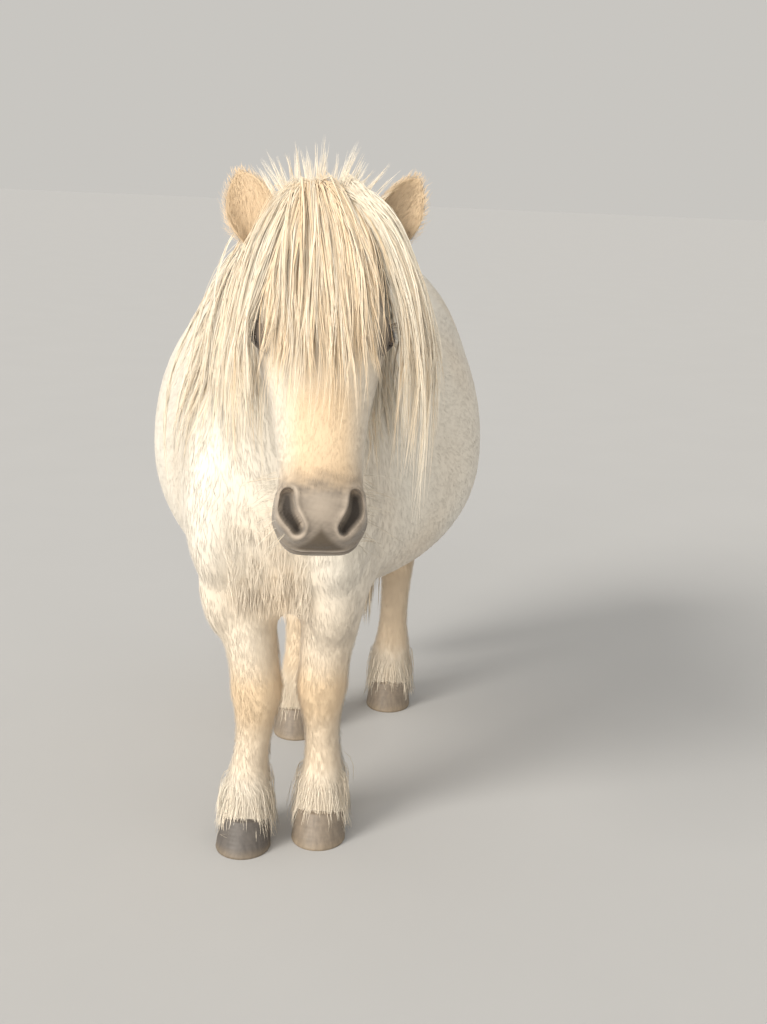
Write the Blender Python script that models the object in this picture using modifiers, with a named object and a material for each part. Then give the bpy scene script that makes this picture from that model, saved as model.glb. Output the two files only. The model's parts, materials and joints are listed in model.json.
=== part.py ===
"""Shetland pony standing with its head turned a little to its left.

A still, life-size model. Metres, +Z up; the pony faces -Y and its left side is +X.
It is built about the ground under its barrel, then centred on its own box.
"""

import math
import random

import bmesh
import bpy
import numpy as np
from mathutils import Matrix, Vector
from mathutils.bvhtree import BVHTree

GAP = 0.0003
SEED = 11

# Driving sizes of the pony, to the tips of its short coat
POLL = Vector((0.092, -0.672, 1.040))
HIP_SWING = 0.034
FACE_SLOPE = math.radians(64.0)
HEAD_YAW = math.radians(9.8)
EYE_RADIUS = 0.0175
EYE_ALONG = 0.146
EYE_OUT = -0.020
EYE_SHOWING = 0.0075
LID_THICKNESS = 0.0045
NOSTRIL_ALONG = 0.392
NOSTRIL_APART = 0.068
NOSTRIL_SIZE = (0.0125, 0.0085, 0.0060)
MOUTH_OUT = -0.084
MOUTH_RISE = 0.028
MOUTH_BACK = 0.352
MOUTH_DEPTH = 0.006
MOUTH_HALF_GAP = 0.0013
EAR_LENGTH = 0.104
EAR_WIDTH = 0.067
EAR_DEPTH_SHARE = 0.72
EAR_WALL = 0.0055
DOCK_LENGTH = 0.26
DOCK_RADIUS = 0.026
TAIL_ROOT = Vector((HIP_SWING, 0.455, 0.868))

HOOF_HALF_WIDTH = 0.046
HOOF_HALF_LENGTH = 0.054
CORONET_HALF_WIDTH = 0.040
CORONET_HALF_LENGTH = 0.043
CORONET_BACK = 0.017
CORONET_HEIGHT = 0.050
CORONET_SLOPE = 0.22
SOLE_BEVEL = 0.0015

# How finely the body is fused and smoothed, and how light its copies are
FLESH_VOXEL = 0.008
FLESH_SMOOTHING = 14
HEAD_TRIANGLES = 8500
BODY_TRIANGLES = 4600
TORSO_TRIANGLES = 2300

# Where the middle of each hoof stands
FEET = {
    "front_right": (-0.050, -0.398),
    "front_left": (0.070, -0.346),
    "hind_right": (-0.036, 0.118),
    "hind_left": (0.134, 0.305),
}

# Torso sections: along Y, half width, top, height of the widest place, bottom
TORSO_SECTIONS = (
    (-0.482, 0.042, 0.700, 0.640, 0.590),
    (-0.456, 0.096, 0.775, 0.620, 0.505),
    (-0.405, 0.142, 0.865, 0.600, 0.425),
    (-0.330, 0.178, 0.932, 0.600, 0.388),
    (-0.250, 0.212, 0.975, 0.600, 0.388),
    (-0.140, 0.260, 0.965, 0.603, 0.370),
    (-0.020, 0.300, 0.945, 0.612, 0.350),
    (0.100, 0.300, 0.942, 0.606, 0.350),
    (0.190, 0.278, 0.955, 0.622, 0.392),
    (0.280, 0.248, 0.966, 0.666, 0.480),
    (0.370, 0.216, 0.948, 0.700, 0.560),
    (0.440, 0.164, 0.895, 0.715, 0.620),
    (0.476, 0.104, 0.838, 0.730, 0.665),
    (0.494, 0.045, 0.790, 0.735, 0.695),
)

# Neck sections: crest (Y, Z), throat (Y, Z), half width
NECK_SECTIONS = (
    (-0.140, 0.900, -0.380, 0.540, 0.120),
    (-0.270, 0.965, -0.468, 0.600, 0.122),
    (-0.400, 1.012, -0.512, 0.708, 0.102),
    (-0.520, 1.045, -0.532, 0.800, 0.086),
    (-0.625, 1.052, -0.545, 0.868, 0.074),
)

# Head sections from the poll to the lips: along the face, then from the face
# line outwards the top, the widest place and the jaw, then the half width
HEAD_SECTIONS = (
    (-0.035, -0.034, -0.075, -0.116, 0.046),
    (0.000, -0.006, -0.068, -0.160, 0.068),
    (0.045, 0.012, -0.066, -0.196, 0.082),
    (0.095, 0.022, -0.060, -0.210, 0.089),
    (0.142, 0.024, -0.056, -0.206, 0.090),
    (0.190, 0.018, -0.058, -0.186, 0.081),
    (0.240, 0.010, -0.058, -0.160, 0.068),
    (0.290, 0.005, -0.056, -0.138, 0.060),
    (0.338, 0.003, -0.055, -0.128, 0.057),
    (0.376, 0.000, -0.056, -0.124, 0.060),
    (0.408, -0.012, -0.060, -0.118, 0.057),
    (0.430, -0.034, -0.066, -0.104, 0.042),
)

# Front leg sections: height, half width across, half depth fore and aft
FRONT_SECTIONS = (
    (0.620, 0.072, 0.098),
    (0.520, 0.070, 0.094),
    (0.440, 0.060, 0.076),
    (0.370, 0.051, 0.060),
    (0.310, 0.045, 0.050),
    (0.268, 0.047, 0.050),
    (0.225, 0.038, 0.042),
    (0.170, 0.033, 0.039),
    (0.125, 0.036, 0.043),
    (0.100, 0.041, 0.048),
    (0.075, 0.040, 0.044),
    (0.020, 0.044, 0.049),
)

# Hind leg sections, the same way
HIND_SECTIONS = (
    (0.700, 0.092, 0.135),
    (0.600, 0.094, 0.146),
    (0.510, 0.084, 0.126),
    (0.440, 0.066, 0.096),
    (0.385, 0.050, 0.071),
    (0.345, 0.044, 0.061),
    (0.300, 0.040, 0.050),
    (0.220, 0.033, 0.041),
    (0.150, 0.035, 0.042),
    (0.110, 0.042, 0.048),
    (0.080, 0.040, 0.044),
    (0.020, 0.044, 0.049),
)

# Middle of each leg above its fetlock: height, then X and Y
LEG_LINES = {
    "front_right": ((0.620, -0.092, -0.350), (0.440, -0.070, -0.348), (0.268, -0.036, -0.374)),
    "front_left": ((0.620, 0.096, -0.345), (0.440, 0.086, -0.336), (0.268, 0.067, -0.334)),
    "hind_right": ((0.700, -0.085, 0.315), (0.600, -0.095, 0.270), (0.510, -0.095, 0.240),
                   (0.440, -0.082, 0.245), (0.345, -0.060, 0.250), (0.220, -0.045, 0.196)),
    "hind_left": ((0.700, 0.160, 0.325), (0.600, 0.165, 0.310), (0.510, 0.160, 0.305),
                  (0.440, 0.148, 0.350), (0.345, 0.138, 0.402), (0.220, 0.135, 0.372)),
}
FETLOCK_HEIGHT = 0.105
FETLOCK_BACK = 0.036

LIGHT_COAT = (0.86, 0.78, 0.64, 1.0)
WHITE_HAIR = (0.90, 0.84, 0.72, 1.0)
TAN_COAT = (0.80, 0.62, 0.42, 1.0)
DARK_EYE = (0.02, 0.015, 0.012, 1.0)
HORN_GREY = (0.14, 0.12, 0.11, 1.0)


def smooth_between(knots, values, places):
    """A smooth curve through the values at the knots, read at the places."""
    knots = np.asarray(knots, float)
    values = np.asarray(values, float)
    places = np.atleast_1d(np.asarray(places, float))
    slopes = np.gradient(values, knots, axis=0)
    low = np.clip(np.searchsorted(knots, places) - 1, 0, len(knots) - 2)
    span = (knots[low + 1] - knots[low])[:, None]
    t = (places - knots[low])[:, None] / span
    flat = values.reshape(len(knots), -1)
    slopes = slopes.reshape(len(knots), -1)
    found = (
        (2 * t**3 - 3 * t**2 + 1) * flat[low]
        + (t**3 - 2 * t**2 + t) * span * slopes[low]
        + (3 * t**2 - 2 * t**3) * flat[low + 1]
        + (t**3 - t**2) * span * slopes[low + 1]
    )
    return found


def oval(sides, squareness):
    """Unit points round a superellipse: across, and up."""
    turn = np.linspace(0.0, 2 * math.pi, sides, endpoint=False)
    power = 2.0 / squareness
    across = np.sign(np.cos(turn)) * np.abs(np.cos(turn)) ** power
    up = np.sign(np.sin(turn)) * np.abs(np.sin(turn)) ** power
    return across, up


def oval_rings(middles, sides_dir, ups_dir, half_widths, tops, bottoms, sides, squareness=2.0):
    """Rings of points: each an oval about its middle, with its own top and bottom half."""
    across, up = oval(sides, squareness)
    rise = np.where(up[None, :] > 0, tops[:, None], bottoms[:, None]) * up[None, :]
    side = half_widths[:, None] * across[None, :]
    return (
        middles[:, None, :]
        + side[:, :, None] * sides_dir[:, None, :]
        + rise[:, :, None] * ups_dir[:, None, :]
    )


def mesh_object(name, vertices, faces, collection):
    """An object of these faces, all turned to face outwards."""
    mesh = bpy.data.meshes.new(name)
    mesh.from_pydata([tuple(v) for v in vertices], [], faces)
    mesh.validate()
    obj = bpy.data.objects.new(name, mesh)
    collection.objects.link(obj)
    work = bmesh.new()
    work.from_mesh(mesh)
    bmesh.ops.recalc_face_normals(work, faces=work.faces)
    work.to_mesh(mesh)
    work.free()
    return obj


def loft(name, rings, collection):
    """A closed solid through the rings, with a flat cap at each end."""
    count, sides, _ = rings.shape
    faces = []
    for i in range(count - 1):
        for j in range(sides):
            k = (j + 1) % sides
            faces.append((i * sides + j, i * sides + k, (i + 1) * sides + k, (i + 1) * sides + j))
    faces.append(tuple(range(sides)))
    faces.append(tuple((count - 1) * sides + j for j in range(sides)))
    return mesh_object(name, rings.reshape(-1, 3), faces, collection)


def evaluated_copy(obj, name, collection):
    """A new mesh object with obj's modifiers applied."""
    graph = bpy.context.evaluated_depsgraph_get()
    graph.update()
    mesh = bpy.data.meshes.new_from_object(obj.evaluated_get(graph))
    mesh.transform(obj.matrix_world)
    made = bpy.data.objects.new(name, mesh)
    collection.objects.link(made)
    return made


def apply_modifiers(obj):
    """Gives obj the mesh that its modifiers make, and takes them off."""
    graph = bpy.context.evaluated_depsgraph_get()
    graph.update()
    mesh = bpy.data.meshes.new_from_object(obj.evaluated_get(graph))
    obj.modifiers.clear()
    obj.data = mesh


def boolean(obj, operation, other, solver="EXACT"):
    """Cuts or joins obj with one object or with a collection, and applies it."""
    step = obj.modifiers.new(operation.lower(), "BOOLEAN")
    step.operation = operation
    step.solver = solver
    if isinstance(other, bpy.types.Collection):
        step.operand_type = "COLLECTION"
        step.collection = other
    else:
        step.object = other
    apply_modifiers(obj)


def keep_largest_surface(obj):
    """Drops every closed surface but the one with the largest box."""
    work = bmesh.new()
    work.from_mesh(obj.data)
    bmesh.ops.remove_doubles(work, verts=work.verts, dist=1e-6)
    left = set(work.faces)
    islands = []
    while left:
        start = left.pop()
        island = {start}
        edge = [start]
        while edge:
            face = edge.pop()
            links = [e.link_faces for e in face.edges if len(e.link_faces) == 2]
            for near in (f for pair in links for f in pair if f in left):
                left.discard(near)
                island.add(near)
                edge.append(near)
        islands.append(island)
    if len(islands) > 1:
        def reach(island):
            points = np.array([v.co for f in island for v in f.verts])
            return float(np.prod(points.max(0) - points.min(0)))
        biggest = max(islands, key=reach)
        spare = [f for f in work.faces if f not in biggest]
        bmesh.ops.delete(work, geom=spare, context="FACES")
    work.to_mesh(obj.data)
    work.free()


def grown(obj, name, collection, by=GAP):
    """A copy of obj swollen along its normals, to cut a neighbour clear of it."""
    made = evaluated_copy(obj, name, collection)
    swell = made.modifiers.new("swell", "DISPLACE")
    swell.mid_level = 0.0
    swell.strength = by
    apply_modifiers(made)
    return made


def remove(obj):
    """Takes obj out of the scene."""
    bpy.data.objects.remove(obj)


def spine_swing(along):
    """How far the middle line of the body is to the left, at a place along Y."""
    share = np.clip((np.asarray(along) + 0.05) / 0.5, 0.0, 1.0)
    return HIP_SWING * share**2 * (3 - 2 * share)


def torso_rings(count=44, sides=56):
    """The trunk from the chest to the rump."""
    rows = np.array(TORSO_SECTIONS)
    along = np.linspace(rows[0, 0], rows[-1, 0], count)
    width, top, widest, bottom = smooth_between(rows[:, 0], rows[:, 1:], along).T
    middles = np.stack([spine_swing(along), along, widest], axis=1)
    across = np.tile([1.0, 0.0, 0.0], (count, 1))
    up = np.tile([0.0, 0.0, 1.0], (count, 1))
    return oval_rings(middles, across, up, width, top - widest, widest - bottom, sides, 2.12)


def neck_rings(count=24, sides=36):
    """The neck bends from the middle line over to the poll."""
    rows = np.array(NECK_SECTIONS)
    share = np.linspace(0.0, 1.0, count)
    found = smooth_between(np.linspace(0, 1, len(rows)), rows, share)
    bend = share**1.6 * POLL.x
    crest = np.stack([bend, found[:, 0], found[:, 1]], axis=1)
    throat = np.stack([bend * 0.9, found[:, 2], found[:, 3]], axis=1)
    middles = (crest + throat) / 2
    half = np.linalg.norm(crest - throat, axis=1) / 2
    up = (crest - throat) / (2 * half)[:, None]
    forward = np.gradient(middles, axis=0)
    across = np.cross(up, forward)
    across /= np.linalg.norm(across, axis=1)[:, None]
    return oval_rings(middles, across, up, found[:, 4], half, half, sides, 2.2)


def head_frame():
    """Down the face, out of the face, and to the pony's left, as unit vectors."""
    level = Vector((math.sin(HEAD_YAW), -math.cos(HEAD_YAW), 0.0))
    down = level * math.cos(FACE_SLOPE) + Vector((0, 0, -math.sin(FACE_SLOPE)))
    out = level * math.sin(FACE_SLOPE) + Vector((0, 0, math.cos(FACE_SLOPE)))
    left = Vector((math.cos(HEAD_YAW), math.sin(HEAD_YAW), 0.0))
    return down, out, left


def on_head(along, out, left):
    """The place at these distances from the poll, in the head's own directions."""
    d, n, s = head_frame()
    return POLL + d * along + n * out + s * left


def head_rings(count=44, sides=36):
    """The head from the poll to the lips, along the line of the face."""
    rows = np.array(HEAD_SECTIONS)
    along = np.linspace(rows[0, 0], rows[-1, 0], count)
    top, widest, jaw, width = smooth_between(rows[:, 0], rows[:, 1:], along).T
    down, out, left = (np.array(v) for v in head_frame())
    middles = np.array(POLL) + along[:, None] * down + widest[:, None] * out
    across = np.tile(left, (count, 1))
    up = np.tile(out, (count, 1))
    return oval_rings(middles, across, up, width, top - widest, widest - jaw, sides, 2.3)


def leg_rings(leg, count=32, sides=24):
    """One leg from inside its hoof up into the trunk."""
    sections = np.array(FRONT_SECTIONS if "front" in leg else HIND_SECTIONS)[::-1]
    hoof_x, hoof_y = FEET[leg]
    line = [(0.0, hoof_x, hoof_y), (FETLOCK_HEIGHT, hoof_x, hoof_y + FETLOCK_BACK)]
    line += [row for row in reversed(LEG_LINES[leg])]
    line = np.array(line)
    height = np.linspace(sections[0, 0], sections[-1, 0], count)
    across_half, depth_half = smooth_between(sections[:, 0], sections[:, 1:], height).T
    middle = smooth_between(line[:, 0], line[:, 1:], height)
    middles = np.stack([middle[:, 0], middle[:, 1], height], axis=1)
    across = np.tile([1.0, 0.0, 0.0], (count, 1))
    fore = np.tile([0.0, 1.0, 0.0], (count, 1))
    return oval_rings(middles, across, fore, across_half, depth_half, depth_half, sides, 2.2)


def bulge(name, middle, radii, collection, turn):
    """A muscle or a bony swelling, as an egg; turn is the matrix of its own directions."""
    bpy.ops.mesh.primitive_uv_sphere_add(segments=20, ring_count=12)
    obj = bpy.context.object
    obj.name = name
    obj.data.transform(Matrix.Translation(middle) @ turn.to_4x4() @ Matrix.Diagonal((*radii, 1.0)))
    for old in list(obj.users_collection):
        old.objects.unlink(obj)
    collection.objects.link(obj)
    return obj


# Muscles of the body: middle on the left side, radii, and lean about X in degrees
BODY_MUSCLES = (
    ("shoulder", (0.094, -0.370, 0.620), (0.070, 0.105, 0.185), -14.0),
    ("elbow", (0.100, -0.295, 0.495), (0.060, 0.080, 0.095), 0.0),
    ("breast", (0.076, -0.414, 0.562), (0.060, 0.060, 0.140), 7.0),
    ("forearm", (0.085, -0.388, 0.455), (0.052, 0.052, 0.108), 12.0),
    ("haunch", (0.138, 0.290, 0.692), (0.098, 0.150, 0.182), 0.0),
)

# Swellings of the head: along, out and left of the poll, and radii the same way
HEAD_MUSCLES = (
    ("cheek", (0.108, -0.122, 0.052), (0.088, 0.082, 0.038)),
    ("brow", (0.142, -0.006, 0.062), (0.040, 0.024, 0.029)),
    ("nostril_swelling", (0.386, -0.030, 0.034), (0.030, 0.027, 0.026)),
    ("lip_swelling", (0.398, -0.068, 0.022), (0.036, 0.032, 0.034)),
    ("chin", (0.384, -0.108, 0.008), (0.030, 0.022, 0.028)),
)


def muscles(pieces):
    """Every muscle of the body and every swelling of the head, on both sides."""
    made = []
    for name, middle, radii, lean in BODY_MUSCLES:
        for side in (-1, 1):
            swing = float(spine_swing(middle[1]))
            place = Vector((swing + middle[0] * side, middle[1], middle[2]))
            turn = Matrix.Rotation(math.radians(lean), 3, "X")
            made.append(bulge(name, place, radii, pieces, turn))
    turn = Matrix(head_frame()).transposed()
    for name, (along, out, left), radii in HEAD_MUSCLES:
        for side in (-1, 1):
            made.append(bulge(name, on_head(along, out, left * side), radii, pieces, turn))
    return made


def flesh_of():
    """The whole body without ears, hooves and hair, as one smooth closed surface."""
    pieces = bpy.data.collections.new("flesh_pieces")
    bpy.context.scene.collection.children.link(pieces)
    made = [
        loft("torso_form", torso_rings(), pieces),
        loft("neck_form", neck_rings(), pieces),
        loft("head_form", head_rings(), pieces),
    ]
    made += [loft(leg + "_form", leg_rings(leg), pieces) for leg in FEET]
    made += muscles(pieces)
    work = bmesh.new()
    for obj in made:
        work.from_mesh(obj.data)
    mesh = bpy.data.meshes.new("flesh")
    work.to_mesh(mesh)
    work.free()
    flesh = bpy.data.objects.new("flesh", mesh)
    pieces.objects.link(flesh)
    fuse = flesh.modifiers.new("fuse", "REMESH")
    fuse.mode = "VOXEL"
    fuse.voxel_size = FLESH_VOXEL
    blend = flesh.modifiers.new("blend", "SMOOTH")
    blend.factor = 0.5
    blend.iterations = FLESH_SMOOTHING
    apply_modifiers(flesh)
    for obj in made:
        remove(obj)
    return flesh, pieces


# Thin cuts that part the body, as Y and Z along each
SHOULDER_CUT = ((-0.0985, 1.300), (-0.847, 0.000))
HEAD_CUT = ((-0.585, 1.150), (-0.515, 0.860), (-0.535, 0.800), (-0.660, 0.500))
FRONT_LEG_CUT = ((-0.620, 0.372), (-0.200, 0.372))
HIND_LEG_CUT = ((-0.100, 0.245), (0.700, 0.609))
BETWEEN_FRONT_LEGS = 0.012
BETWEEN_HIND_LEGS = 0.046
FAR = 1.5


def hull(name, points, collection):
    """The closed convex solid with these corners."""
    mesh = bpy.data.meshes.new(name)
    work = bmesh.new()
    for point in points:
        work.verts.new(point)
    bmesh.ops.convex_hull(work, input=work.verts)
    bmesh.ops.recalc_face_normals(work, faces=work.faces)
    work.to_mesh(mesh)
    work.free()
    obj = bpy.data.objects.new(name, mesh)
    collection.objects.link(obj)
    return obj


def prism(name, outline, collection, left=-FAR, right=FAR):
    """A convex outline in Y and Z, drawn out along X."""
    return hull(name, [(x, y, z) for x in (left, right) for y, z in outline], collection)


def ahead_of(cut, shift, collection):
    """All that lies in front of a cut, moved along Y by the shift."""
    outline = [(y + shift, z) for y, z in cut]
    outline += [(-FAR, cut[0][1]), (-FAR, cut[-1][1])]
    return prism("ahead", outline, collection)


def below(cut, collection):
    """All that lies under a cut."""
    outline = [*cut, (cut[0][0], -0.1), (cut[1][0], -0.1)]
    return prism("below", outline, collection)


def coronet_at(leg, y):
    """Height of the top of the hoof at a place along Y."""
    return CORONET_HEIGHT - CORONET_SLOPE * (y - FEET[leg][1])


def leg_region(leg, collection):
    """The space of one leg, from its hoof up to the cut under the body."""
    front = "front" in leg
    split = BETWEEN_FRONT_LEGS if front else BETWEEN_HIND_LEGS
    left, right = (-FAR, split - GAP) if "right" in leg else (split + GAP, FAR)
    cut = FRONT_LEG_CUT if front else HIND_LEG_CUT
    outline = [(y, z - GAP * 1.2) for y, z in cut]
    outline += [(y, coronet_at(leg, y) + GAP) for y, _ in cut]
    return prism("leg_region", outline, collection, left, right)


def cut_of(body, name, collection, inside=(), outside=()):
    """A copy of the body kept inside some solids and outside others, which are used up."""
    made = evaluated_copy(body, name, collection)
    for other in inside:
        boolean(made, "INTERSECT", other)
    for other in outside:
        boolean(made, "DIFFERENCE", other)
    for other in (*inside, *outside):
        remove(other)
    keep_largest_surface(made)
    return made


def decimated(flesh, name, triangles, collection):
    """A copy of the flesh with about this many triangles."""
    made = evaluated_copy(flesh, name, collection)
    made.data.calc_loop_triangles()
    lighten = made.modifiers.new("lighten", "DECIMATE")
    lighten.ratio = triangles / len(made.data.loop_triangles)
    apply_modifiers(made)
    return made


def hoof(leg, collection):
    """A hoof with a flat sole, whose wall leans back up to the coronet."""
    x, y = FEET[leg]
    turn = np.linspace(0.0, 2 * math.pi, 20, endpoint=False)
    rings = []
    for share in (0.0, 0.10, 0.55, 1.0):
        half_width = HOOF_HALF_WIDTH + (CORONET_HALF_WIDTH - HOOF_HALF_WIDTH) * share
        half_length = HOOF_HALF_LENGTH + (CORONET_HALF_LENGTH - HOOF_HALF_LENGTH) * share
        if share == 0.0:
            half_width -= SOLE_BEVEL
            half_length -= SOLE_BEVEL
        ring_x = x + half_width * np.cos(turn)
        ring_y = y + CORONET_BACK * share + half_length * np.sin(turn)
        top = np.array([coronet_at(leg, place) for place in ring_y])
        rings.append(np.stack([ring_x, ring_y, top * share], axis=1))
    return loft("hoof_" + leg, np.array(rings), collection)


def surface_tree(*objects):
    """A search tree of the faces of these objects."""
    points = []
    faces = []
    for obj in objects:
        first = len(points)
        points += [obj.matrix_world @ v.co for v in obj.data.vertices]
        faces += [tuple(first + i for i in face.vertices) for face in obj.data.polygons]
    return BVHTree.FromPolygons(points, faces)


def eye(name, side, tree, collection):
    """An eyeball set into the side of the head; gives it and its middle."""
    _, _, left = head_frame()
    start = on_head(EYE_ALONG, EYE_OUT, 0.3 * side)
    place, _, _, _ = tree.ray_cast(start, -left * side)
    middle = place - left * side * (EYE_RADIUS - EYE_SHOWING)
    bpy.ops.mesh.primitive_uv_sphere_add(segments=14, ring_count=8, radius=EYE_RADIUS)
    obj = bpy.context.object
    obj.name = name
    obj.data.transform(Matrix.Translation(middle))
    for old in list(obj.users_collection):
        old.objects.unlink(obj)
    collection.objects.link(obj)
    return obj, middle


def tube(name, path, radii, sides, collection):
    """A closed round tube along a path."""
    path = np.asarray(path, float)
    ahead = np.gradient(path, axis=0)
    ahead /= np.linalg.norm(ahead, axis=1)[:, None]
    first = np.zeros_like(ahead)
    first[0] = np.cross(ahead[0], np.roll(ahead[0], 1) + 0.31)
    for k in range(1, len(path)):
        first[k] = first[k - 1] - ahead[k] * np.dot(first[k - 1], ahead[k])
    first /= np.linalg.norm(first, axis=1)[:, None]
    second = np.cross(ahead, first)
    turn = np.linspace(0.0, 2 * math.pi, sides, endpoint=False)
    round_path = (
        np.cos(turn)[None, :, None] * first[:, None, :]
        + np.sin(turn)[None, :, None] * second[:, None, :]
    )
    radii = np.asarray(radii, float)
    return loft(name, path[:, None, :] + radii[:, None, None] * round_path, collection)


def lids(middle, side, collection):
    """The upper and the lower lid of one eye, as two rims that meet at its corners."""
    down, out, left = head_frame()
    made = []
    facing = (left * side + out * 0.35).normalized()
    along = (down - facing * down.dot(facing)).normalized()
    up = along.cross(facing) * side
    if up.dot(out) < 0:
        up = -up
    reach = EYE_RADIUS + LID_THICKNESS * 0.25
    for lift, name in ((34.0, "upper_lid"), (-30.0, "lower_lid")):
        path = []
        for step in range(9):
            turn = math.radians(-76 + 152 * step / 8)
            rise = math.radians(lift) * math.cos(turn)
            spot = facing * math.cos(turn) * math.cos(rise) + along * math.sin(turn)
            spot += up * math.sin(rise)
            path.append(middle + spot.normalized() * reach)
        thick = [LID_THICKNESS * (0.6 + 0.5 * math.sin(math.pi * k / 8)) for k in range(9)]
        made.append(tube(name, path, thick, 6, collection))
    return made


def nostril(tree, side, collection):
    """The hollow of one nostril, as a long egg that leans towards the lip."""
    down, out, left = head_frame()
    start = on_head(NOSTRIL_ALONG, 0.3, NOSTRIL_APART / 2 * side)
    place, _, _, _ = tree.ray_cast(start, -out)
    turned = Matrix.Rotation(math.radians(-38.0 * side), 3, out)
    frame = Matrix((turned @ down, turned @ left, out)).transposed()
    length, width, depth = NOSTRIL_SIZE
    return bulge("nostril", place - out * 0.002, (length, width, depth), collection, frame)


def mouth_groove(tree, collection):
    """A thin groove round the muzzle where the lips meet."""
    down, out, left = head_frame()
    stations = np.linspace(-1.0, 1.0, 17)
    rings = []
    for share in stations:
        turn = share * math.radians(96.0)
        rise = MOUTH_RISE * max(math.cos(turn), 0.0)
        middle = on_head(MOUTH_BACK, MOUTH_OUT + rise, 0.0)
        ray = down * math.cos(turn) + left * math.sin(turn)
        place, _, _, _ = tree.ray_cast(middle + ray * 0.3, -ray)
        fade = 1.0 - abs(share) ** 6
        inner = place - ray * (MOUTH_DEPTH * fade + 0.0005)
        outer = place + ray * 0.006
        rings.append([
            inner - out * MOUTH_HALF_GAP * 0.5,
            outer - out * MOUTH_HALF_GAP * 2.5,
            outer + out * MOUTH_HALF_GAP * 2.5,
            inner + out * MOUTH_HALF_GAP * 0.5,
        ])
    return loft("mouth_groove", np.array(rings), collection)


# Each ear: along, out and left of its root on the head, where it points, and
# where its opening faces, in the pony's own X, Y and Z
EARS = {
    "ear_right": ((0.012, -0.046, -0.080), (-0.37, 0.08, 0.93), (0.05, -0.99, 0.02)),
    "ear_left": ((0.006, -0.047, 0.072), (0.56, 0.02, 0.80), (0.40, -0.90, -0.05)),
}


def ear_profile(height):
    """Half width of an ear at a share of its length: 0.70 at its root, 1 at 0.45, 0 at its tip."""
    low = 0.70 + 0.30 * math.sin(math.pi / 2 * min(height / 0.45, 1.0))
    top = max(height - 0.45, 0.0) / 0.55
    return low * (1.0 - top**2) ** 0.62


def ear(name, collection):
    """A cupped ear: rings in the shape of a C, widest at its middle and round at the top.

    The wall reaches round from its back by an angle that shrinks towards the tip, and
    the tip curls forwards and then back.
    """
    root, point, face = EARS[name]
    base = on_head(*root)
    up = Vector(point).normalized()
    front = Vector(face)
    front = (front - up * front.dot(up)).normalized()
    side = up.cross(front)
    rings = []
    for share in np.linspace(-0.22, 1.0, 14):
        height = max(share, 0.0)
        half_width = EAR_WIDTH / 2 * ear_profile(height) + 0.0022
        reach = math.radians(118 - 40 * height)
        lean = front * (0.012 * math.sin(math.pi * height)) - front * 0.020 * height**2
        middle = base + up * (EAR_LENGTH * share) + lean
        turns = np.linspace(-reach, reach, 9)
        wall = min(EAR_WALL, half_width * 0.62)
        outer = [(math.sin(t) * half_width, -math.cos(t) * half_width) for t in turns]
        hollow = half_width - wall
        inner = [(math.sin(t) * hollow, -math.cos(t) * hollow) for t in reversed(turns)]
        deep = front * EAR_DEPTH_SHARE
        rings.append([middle + side * x + deep * y for x, y in outer + inner])
    return loft(name, np.array(rings), collection)


# Long hair: how many locks are drawn, their lengths, and half their widths
FORELOCK_COUNT = 48
FORELOCK_FAN = 1.25
FORELOCK_LENGTH = 0.29
FORELOCK_SIDES_LONGER = 0.10
FORELOCK_RIGHT_LONGER = 0.04
FORELOCK_WIDTHS = (0.009, 0.013)
MANE_COUNT = 90
MANE_FROM = -0.548
MANE_TO = -0.285
MANE_LENGTH = 0.38
MANE_LEFT_SHARE = 0.85
MANE_WIDTHS = (0.009, 0.014)
TUFT_COUNT = 11
TUFT_LENGTH = 0.105
TUFT_WIDTHS = (0.007, 0.010)
TAIL_COUNT = 40
TAIL_TIP_HEIGHT = 0.10
TAIL_WIDTHS = (0.012, 0.017)
FEATHER_COUNT = 10
FEATHER_LENGTH = 0.070
FEATHER_WIDTHS = (0.012, 0.015)
LOCK_DEPTH = 0.0022
TAIL_LOCK_DEPTH = 0.0030

# How the hair lies: how far it is held off the skin, by how much more in each layer,
# the height that it keeps over the floor, and how soon it rises from its root
LAYERS = 3
LAYER_STEP = 0.0065
FORELOCK_STEP = 0.0100
FEATHER_STEP = 0.0045
GOLDEN_TURN = 137.5
ROOT_SUNK = 0.010
OFF_SKIN = 0.006
FEATHER_OFF_SKIN = 0.0040
TAIL_OFF_SKIN = 0.010
FLOOR_CLEAR = 0.012
RISE_FROM = 0.15
RISE = 1.6
DOWN = Vector((0.0, 0.0, -1.0))


def hang(root, normal, heading, length, steps, tree, clear, droop):
    """The path of hair from a root: it leaves the skin, then falls, held off the skin.

    The droop is the length over which the hair turns down. Gives the points, and at
    each the way out from the skin.
    """
    points = [root - normal * ROOT_SUNK]
    outs = [normal]
    heading = heading.normalized()
    place = root
    pull = min(0.9, length / steps / droop)
    for k in range(steps):
        heading = (heading * (1 - pull) + DOWN * pull).normalized()
        place = place + heading * (length / steps)
        near, facing, _, _ = tree.find_nearest(place)
        off = (place - near).dot(facing)
        away = (place - near).normalized() if off > 0 else facing
        keep = clear * min(1.0, RISE_FROM + RISE * (k + 1) / steps)
        if off < 0 or (place - near).length < keep:
            place = near + away * keep
        place.z = max(place.z, FLOOR_CLEAR)
        points.append(place.copy())
        outs.append((away if (place - near).length < 0.06 else outs[-1]).copy())
    return points, outs


def union(obj, pieces, collection):
    """Fuses closed pieces to a node by one Boolean, and drops what stays loose."""
    group = bpy.data.collections.new("pieces_of_" + obj.name)
    collection.children.link(group)
    for piece in pieces:
        for old in list(piece.users_collection):
            old.objects.unlink(piece)
        group.objects.link(piece)
    boolean(obj, "UNION", group, "MANIFOLD")
    for piece in list(group.objects):
        remove(piece)
    bpy.data.collections.remove(group)
    keep_largest_surface(obj)


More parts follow.
